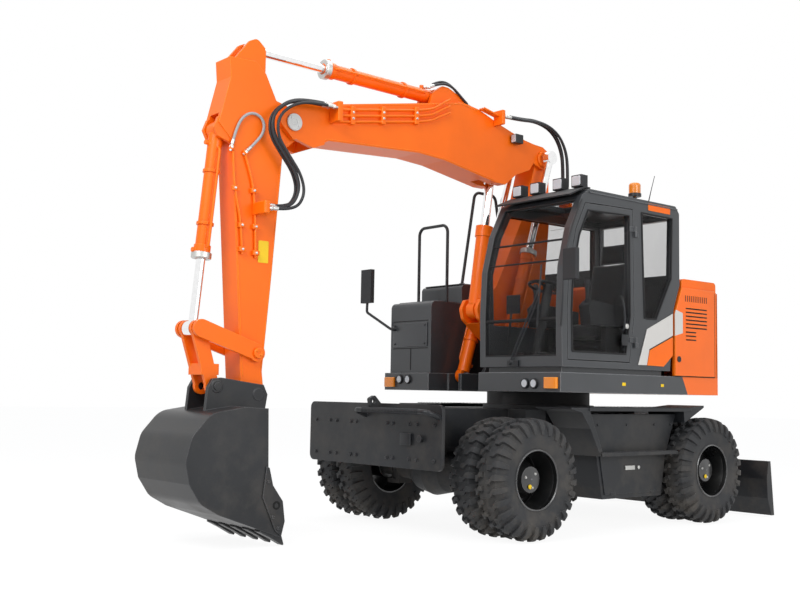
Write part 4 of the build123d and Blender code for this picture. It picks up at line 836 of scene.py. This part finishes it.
def ram_trim(name, foot, eye, y, length, bore, body, port_side=1):
    """The gland ring, the feed line and its clamps on a barrel that runs from foot towards eye at (x, z)."""
    foot, eye = np.asarray(foot, float), np.asarray(eye, float)
    ahead = (eye - foot) / np.linalg.norm(eye - foot)
    axis, side, radius = np.array([ahead[0], 0, ahead[1]]), np.array([0, port_side, 0]), bore * 1.16
    start = np.array([foot[0], y, foot[1]])
    mouth = start + axis * length
    skin, lip = radius + 0.0005, radius * 0.66
    ring = [(-0.05, skin), (-0.05, radius + 0.010), (-0.046, radius + 0.014), (-0.004, radius + 0.014),
            (0.002, radius + 0.008), (0.002, lip), (0.0005, lip), (0.0005, skin)]
    piece(name + "_gland", hoop(ring, mouth, axis), zinc, body)
    # The line's points: where along the axis, and how far off the barrel's skin.
    line = [origin + axis * along + side * (radius + off) for origin, along, off in (
        (start, 0.16, 0.002), (start, 0.18, 0.028), (start, 0.24, 0.030), (mouth, -0.16, 0.030), (mouth, -0.10, 0.028),
        (mouth, -0.085, 0.002))]
    inside = radius * 0.86
    clamp = [(-0.012, inside), (-0.012, inside + 0.012), (0.012, inside + 0.012), (0.012, inside)]
    clamps = [hoop(clamp, start + axis * (0.3 + (length - 0.5) * t), axis, 24) for t in (0.1, 0.85)]
    piece(name + "_line", [pipe(eased(line), 0.010, 10), *clamps], orange, body)


ram_trim("boom_ram_left", (0.50, 1.43), (-0.20, 3.70), 0.10, 1.330, 0.062, "boom_barrels", 1)
ram_trim("boom_ram_right", (0.50, 1.43), (-0.20, 3.70), -0.44, 1.330, 0.062, "boom_barrels", -1)
ram_trim("arm_ram", (1.21, 4.12), (3.26, 4.14), MID, 1.310, 0.065, "arm_barrel")
ram_trim("bucket_ram", (3.585, 3.39), (3.745, 1.73), MID, 1.090, 0.060, "bucket_barrel")

# ------------------------------------------------------------------ bucket
# A digging bucket rolled from wear plate, with bolted side cutters and five cast teeth on their adapters.
# Its paint is scuffed where soil runs over it.
iron = paint("bucket_paint", "black_paint", (0.018, 0.019, 0.021), 0.32, dusty=0.25, wear_and_highlight=(0.09, 0.09, 0.095),
             tone=0.25, top=1.4, radius=0.010)
dress(iron, "bucket")
HALF = 0.425
OUTSIDE = HALF + 0.014
cutter = [(3.280, 0.640), (3.252, 0.630), (3.215, 0.490), (3.118, 0.360), (3.095, 0.200), (3.125, 0.085),
          (3.185, 0.130), (3.310, 0.400)]
piece("side_cutters", [on_side(cutter, MID + s * HALF, -s * 0.014) for s in (1, -1)], iron, "bucket", bevel=0.003)
# The cutters' eyes are near-black dishes: painted shade for the holes.
eye_shade_profile = [(-0.002, 0.034), (0.004, 0.034), (0.004, 0.020), (-0.001, 0.018)]
eye_shade = [turned(eye_shade_profile, (3.180, MID + s * OUTSIDE, 0.33), (0, s, 0), 24) for s in (1, -1)]
piece("cutter_eye_shade", eye_shade, painted_shade, "bucket")
cutter_bolts = [(x, MID + OUTSIDE, z) for x, z in ((3.262, 0.52), (3.215, 0.24), (3.160, 0.15))]
piece("cutter_bolts", bolts(cutter_bolts, Y, 0.014), iron, "bucket")
# An adapter's rings from the lip to its nose: x, z, width and height as shares of the first.
adapter = ((3.300, 0.158, 1.0, 1.25), (3.235, 0.120, 1.0, 1.1), (3.19, 0.092, 0.9, 0.9), (3.185, 0.089, 0.72, 0.7),
           (3.12, 0.045, 0.70, 0.42), (3.092, 0.024, 0.66, 0.16))
lean = np.array([(0, 1, 0), (0.5, 0, -0.86), (0, 0, 0)])
adapters = [stacked(np.stack([np.pad(rounded(0.084 * w, 0.058 * h, 0.008), ((0, 0), (0, 1))) @ lean + [x, y, z]
                              for x, z, w, h in adapter])) for y in MID - HALF + 0.05 + 0.1875 * np.arange(5)]
piece("tooth_adapters", adapters, iron, "bucket", angle=40)
keepers = [turned([(-0.035, 0.05), (-0.03, 0.055), (0, 0.055), (0.006, 0.048)], (x, y, z), (0, s, 0), 28)
           for x, z in ((3.21, 1.21), (3.60, 1.27)) for y, s in ((0.0, 1), (-0.34, -1))]
piece("bucket_pin_caps", keepers, iron, "bucket")

# ------------------------------------------------------------------ hydraulic hoses
# Spiral-wired rubber hoses where a joint has to be crossed. A hose leaves its swaged ferrule straight, and its
# slack is a loop wide enough never to kink.
hose_rubber = paint("hose_rubber", "", (0.020, 0.021, 0.024), 0.38, dusty=0.05, relief=0.06, grain_scale=700,
                    wear_and_highlight=(0.04, 0.041, 0.045), radius=0.002)
wrap = paint("loop_hose_rubber", "", (0.33, 0.34, 0.35), 0.5, dusty=0.05, relief=0.05, grain_scale=700,
             wear_and_highlight=(0.5, 0.5, 0.5), radius=0.002)


def smooth_line(name, route):
    """The route's smooth line: a NURBS curve with the route's points as its control points, read back as points."""
    line = bpy.data.curves.new(name, "CURVE")
    line.dimensions, line.resolution_u = "3D", 10
    spline = line.splines.new("NURBS")
    spline.points.add(len(route) - 1)
    spline.points.foreach_set("co", np.pad(np.asarray(route) + AT, ((0, 0), (0, 1)), constant_values=1.0).ravel())
    spline.order_u, spline.use_endpoint_u = 3, True
    carrier = bpy.data.objects.new(name, line)
    read = bpy.data.meshes.new_from_object(carrier)
    points = np.empty(3 * len(read.vertices))
    read.vertices.foreach_get("co", points)
    bpy.data.objects.remove(carrier)
    return points.reshape(-1, 3) - AT


def hose(name, route, radius, body, finish=hose_rubber, bend_to=None):
    """A hose along the smooth line of its route, with a swaged ferrule and a nut at each end. Where it crosses a joint,
    the fitting at each end is fixed to its own piece, and the hose itself to neither."""
    line, fittings = smooth_line(name, route), []
    made = piece(name, pipe(line, radius, 14), finish, None if bend_to else body, angle=80)
    # The ferrule, the nut and the stub, as (along the hose, share of its radius), and each one's sides.
    profiles = (([(-0.055, 1.02), (-0.052, 1.32), (-0.012, 1.32), (-0.008, 1.05), (0.004, 1.05)], 20),
                ([(0.000, 1.5), (0.004, 1.65), (0.022, 1.65), (0.026, 1.4)], 6), ([(0.024, 1.0), (0.05, 1.0)], 16))
    for label, tip, inner, on in (("a", line[0], line[2], body), ("b", line[-1], line[-3], bend_to or body)):
        out = (tip - inner) / np.linalg.norm(tip - inner)
        parts = [turned(np.array(profile) * [1, radius], tip, out, sides) for profile, sides in profiles]
        fittings.append(piece("%s_end_%s" % (name, label), parts, zinc, on))
    if bend_to:
        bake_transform(made)


tip_route = np.array([(2.610, 3.735), (2.830, 3.735), (3.040, 3.690), (3.190, 3.560), (3.200, 3.390), (3.070, 3.230),
                      (2.945, 3.085), (2.905, 2.920), (3.010, 2.770), (3.200, 2.765)])
elbow_route = np.array([(0.440, 4.040), (0.190, 4.045), (-0.080, 4.075), (-0.320, 4.010), (-0.460, 3.830),
                        (-0.485, 3.600), (-0.480, 3.380)])
# Each hose of a row: its y, and how far its slack lies forward of and above the row's route.
tip_row = [(0.034, 0, 0), (0.064, -0.014, 0.016), (0.094, 0.012, -0.008), (0.122, -0.026, -0.024)]
elbow_row = [(0.020, 0, 0), (0.048, 0.014, 0.008), (0.076, -0.014, -0.006), (0.104, 0.006, -0.022)]
for k, (y, forward, rise) in enumerate(tip_row, 1):
    shift = np.zeros((len(tip_route), 2))
    shift[1:-1] = (forward, rise)
    shift[[0, 1, -2, -1], 1] = rise * 0.8
    p = tip_route + shift
    hose("tip_hose_%d" % k, np.insert(p, 1, y, axis=1), 0.013, "upper_boom", bend_to="arm")
for k, (y, forward, rise) in enumerate(elbow_row, 1):
    shift = np.full((len(elbow_route), 2), (forward, rise))
    shift[0, 0] = shift[-1, 1] = 0
    p = elbow_route + shift
    hose("elbow_hose_%d" % k, np.insert(p, 1, y, axis=1), 0.013, "upper_boom", bend_to="lower_boom")
loop_route = [(3.515, 3.250), (3.478, 3.400), (3.410, 3.520), (3.310, 3.565), (3.215, 3.520), (3.205, 3.420),
              (3.275, 3.320), (3.370, 3.225)]
hose("arm_loop_hose", [(x, -0.033, z) for x, z in loop_route], 0.012, "arm", finish=wrap)
for k, (y, rise) in enumerate([(-0.085, 0.0), (-0.050, -0.03)], 1):
    route = [(0.80, y, 4.10 + rise), (0.93, y, 4.19 + rise), (1.06, y, 4.275 + rise), (1.20, y, 4.215 + 0.06 + rise),
             (1.34, y, 4.190 + rise * 0.3)]
    hose("arm_ram_hose_%d" % k, route, 0.012, "upper_boom", bend_to="arm_barrel")

# ------------------------------------------------------------------ hydraulic tubes
# Steel tubes bent cold and held in bolted clamps along the booms, from one drilled manifold block to the next.
# All are painted with the boom.
TUBE_Y, ARM_TUBE_Y, TUBE_RADIUS = 0.022, -0.033, 0.011
boom_pipes = []
for drop in (0.0, 0.055, 0.110):
    z0, z1 = 3.745 - drop, 3.925 - drop
    run = [(2.50, z0 - 0.012), (2.40, z0), (1.90, (z0 + z1) / 2), (1.40, z1), (1.28, z1 + 0.07),
           (1.14, z1 + 0.155 - drop * 0.2)]
    boom_pipes.append(pipe(eased([(x, TUBE_Y, z) for x, z in run]), TUBE_RADIUS))
piece("boom_tubes", boom_pipes, orange, "upper_boom")
clamp_at = [(2.42 - t, 3.742 + 0.178 * t) for t in (0.10, 0.45, 0.85)]
clamps = [slab((x - 0.024, 0.0003, z - 0.135), (x + 0.024, 0.040, z + 0.028)) for x, z in clamp_at]
piece("boom_tube_clamps", clamps, orange, "upper_boom", bevel=0.004)
clamp_bolts = [(x, 0.040, z - d) for x, z in clamp_at for d in (0.027, 0.082)]
piece("clamp_bolts", bolts(clamp_bolts, Y, 0.009), zinc, "upper_boom")
manifolds = [slab((2.510, 0.0003, 3.60), (2.560, 0.140, 3.775)), slab((0.490, 0.0003, 3.93), (0.530, 0.130, 4.075))]
piece("boom_manifolds", manifolds, orange, "upper_boom", bevel=0.005)
stubs = [pipe([(0.530, y, 4.02), (0.62, y, 4.035), (0.74, y, 4.06)], 0.010, 10) for y in (0.02, 0.05, 0.08)]
top_pipes = [pipe(eased([(0.80, y, 4.10 - d), (0.62, y, 4.06 - d), (0.46, y, 4.01 - d), (0.52, y, 4.0 - d)]), 0.012)
             for y, d in ((-0.085, 0), (-0.05, 0.03))]
piece("elbow_tubes", [*stubs, *top_pipes], orange, "upper_boom")
bracket = [slab((-0.52, -0.041, 3.310), (-0.28, 0.128, 3.330)),
           slab((-0.52, -0.041, 3.10), (-0.50, 0.128, 3.330), 0.002)]
piece("elbow_hose_bracket", bracket, orange, "lower_boom", bevel=0.003)
arm_runs = ([(3.500, 3.20), (3.485, 2.95), (3.45, 2.80), (3.405, 2.62), (3.385, 2.36)],
            [(3.385, 3.19), (3.330, 3.05), (3.290, 2.90), (3.265, 2.60), (3.255, 2.34)])
piece("arm_tubes", [pipe(eased([(x, ARM_TUBE_Y, z) for x, z in run]), TUBE_RADIUS) for run in arm_runs], orange, "arm")
arm_clamp_at = ((3.475, 2.90), (3.400, 2.60), (3.388, 2.40), (3.292, 2.90), (3.266, 2.60), (3.256, 2.38))
arm_clamps = [slab((x - 0.03, -0.0517, z - 0.020), (x + 0.03, -0.014, z + 0.020), 0.005) for x, z in arm_clamp_at]
piece("arm_tube_clamps", arm_clamps, orange, "arm", bevel=0.004)
piece("arm_clamp_bolts", bolts([(x, -0.014, z) for x, z in arm_clamp_at], Y, 0.009), zinc, "arm")
blocks = [slab((3.235, -0.0517, 2.700), (3.290, 0.140, 2.800), 0.008),
          slab((3.365, -0.0517, 3.190), (3.405, -0.018, 3.225)),
          slab((3.495, -0.0517, 3.215), (3.535, -0.018, 3.245))]
piece("arm_manifold", blocks, orange, "arm", bevel=0.005)

# Work lamp on the boom's side, in a bent-plate guard.
lamp = [slab((0.18, 0.020, 3.79), (0.29, 0.085, 3.88), 0.008), slab((0.22, 0.0003, 3.82), (0.25, 0.021, 3.85), 0.003)]
piece("boom_lamp", lamp, black, "upper_boom", bevel=0.004)
lamp_front = pressed(rounded(0.055, 0.076, 0.008), (0.2905, 0.0525, 3.835), Y, Z, 0.005)
piece("boom_lamp_lens", lamp_front, lens, "upper_boom")
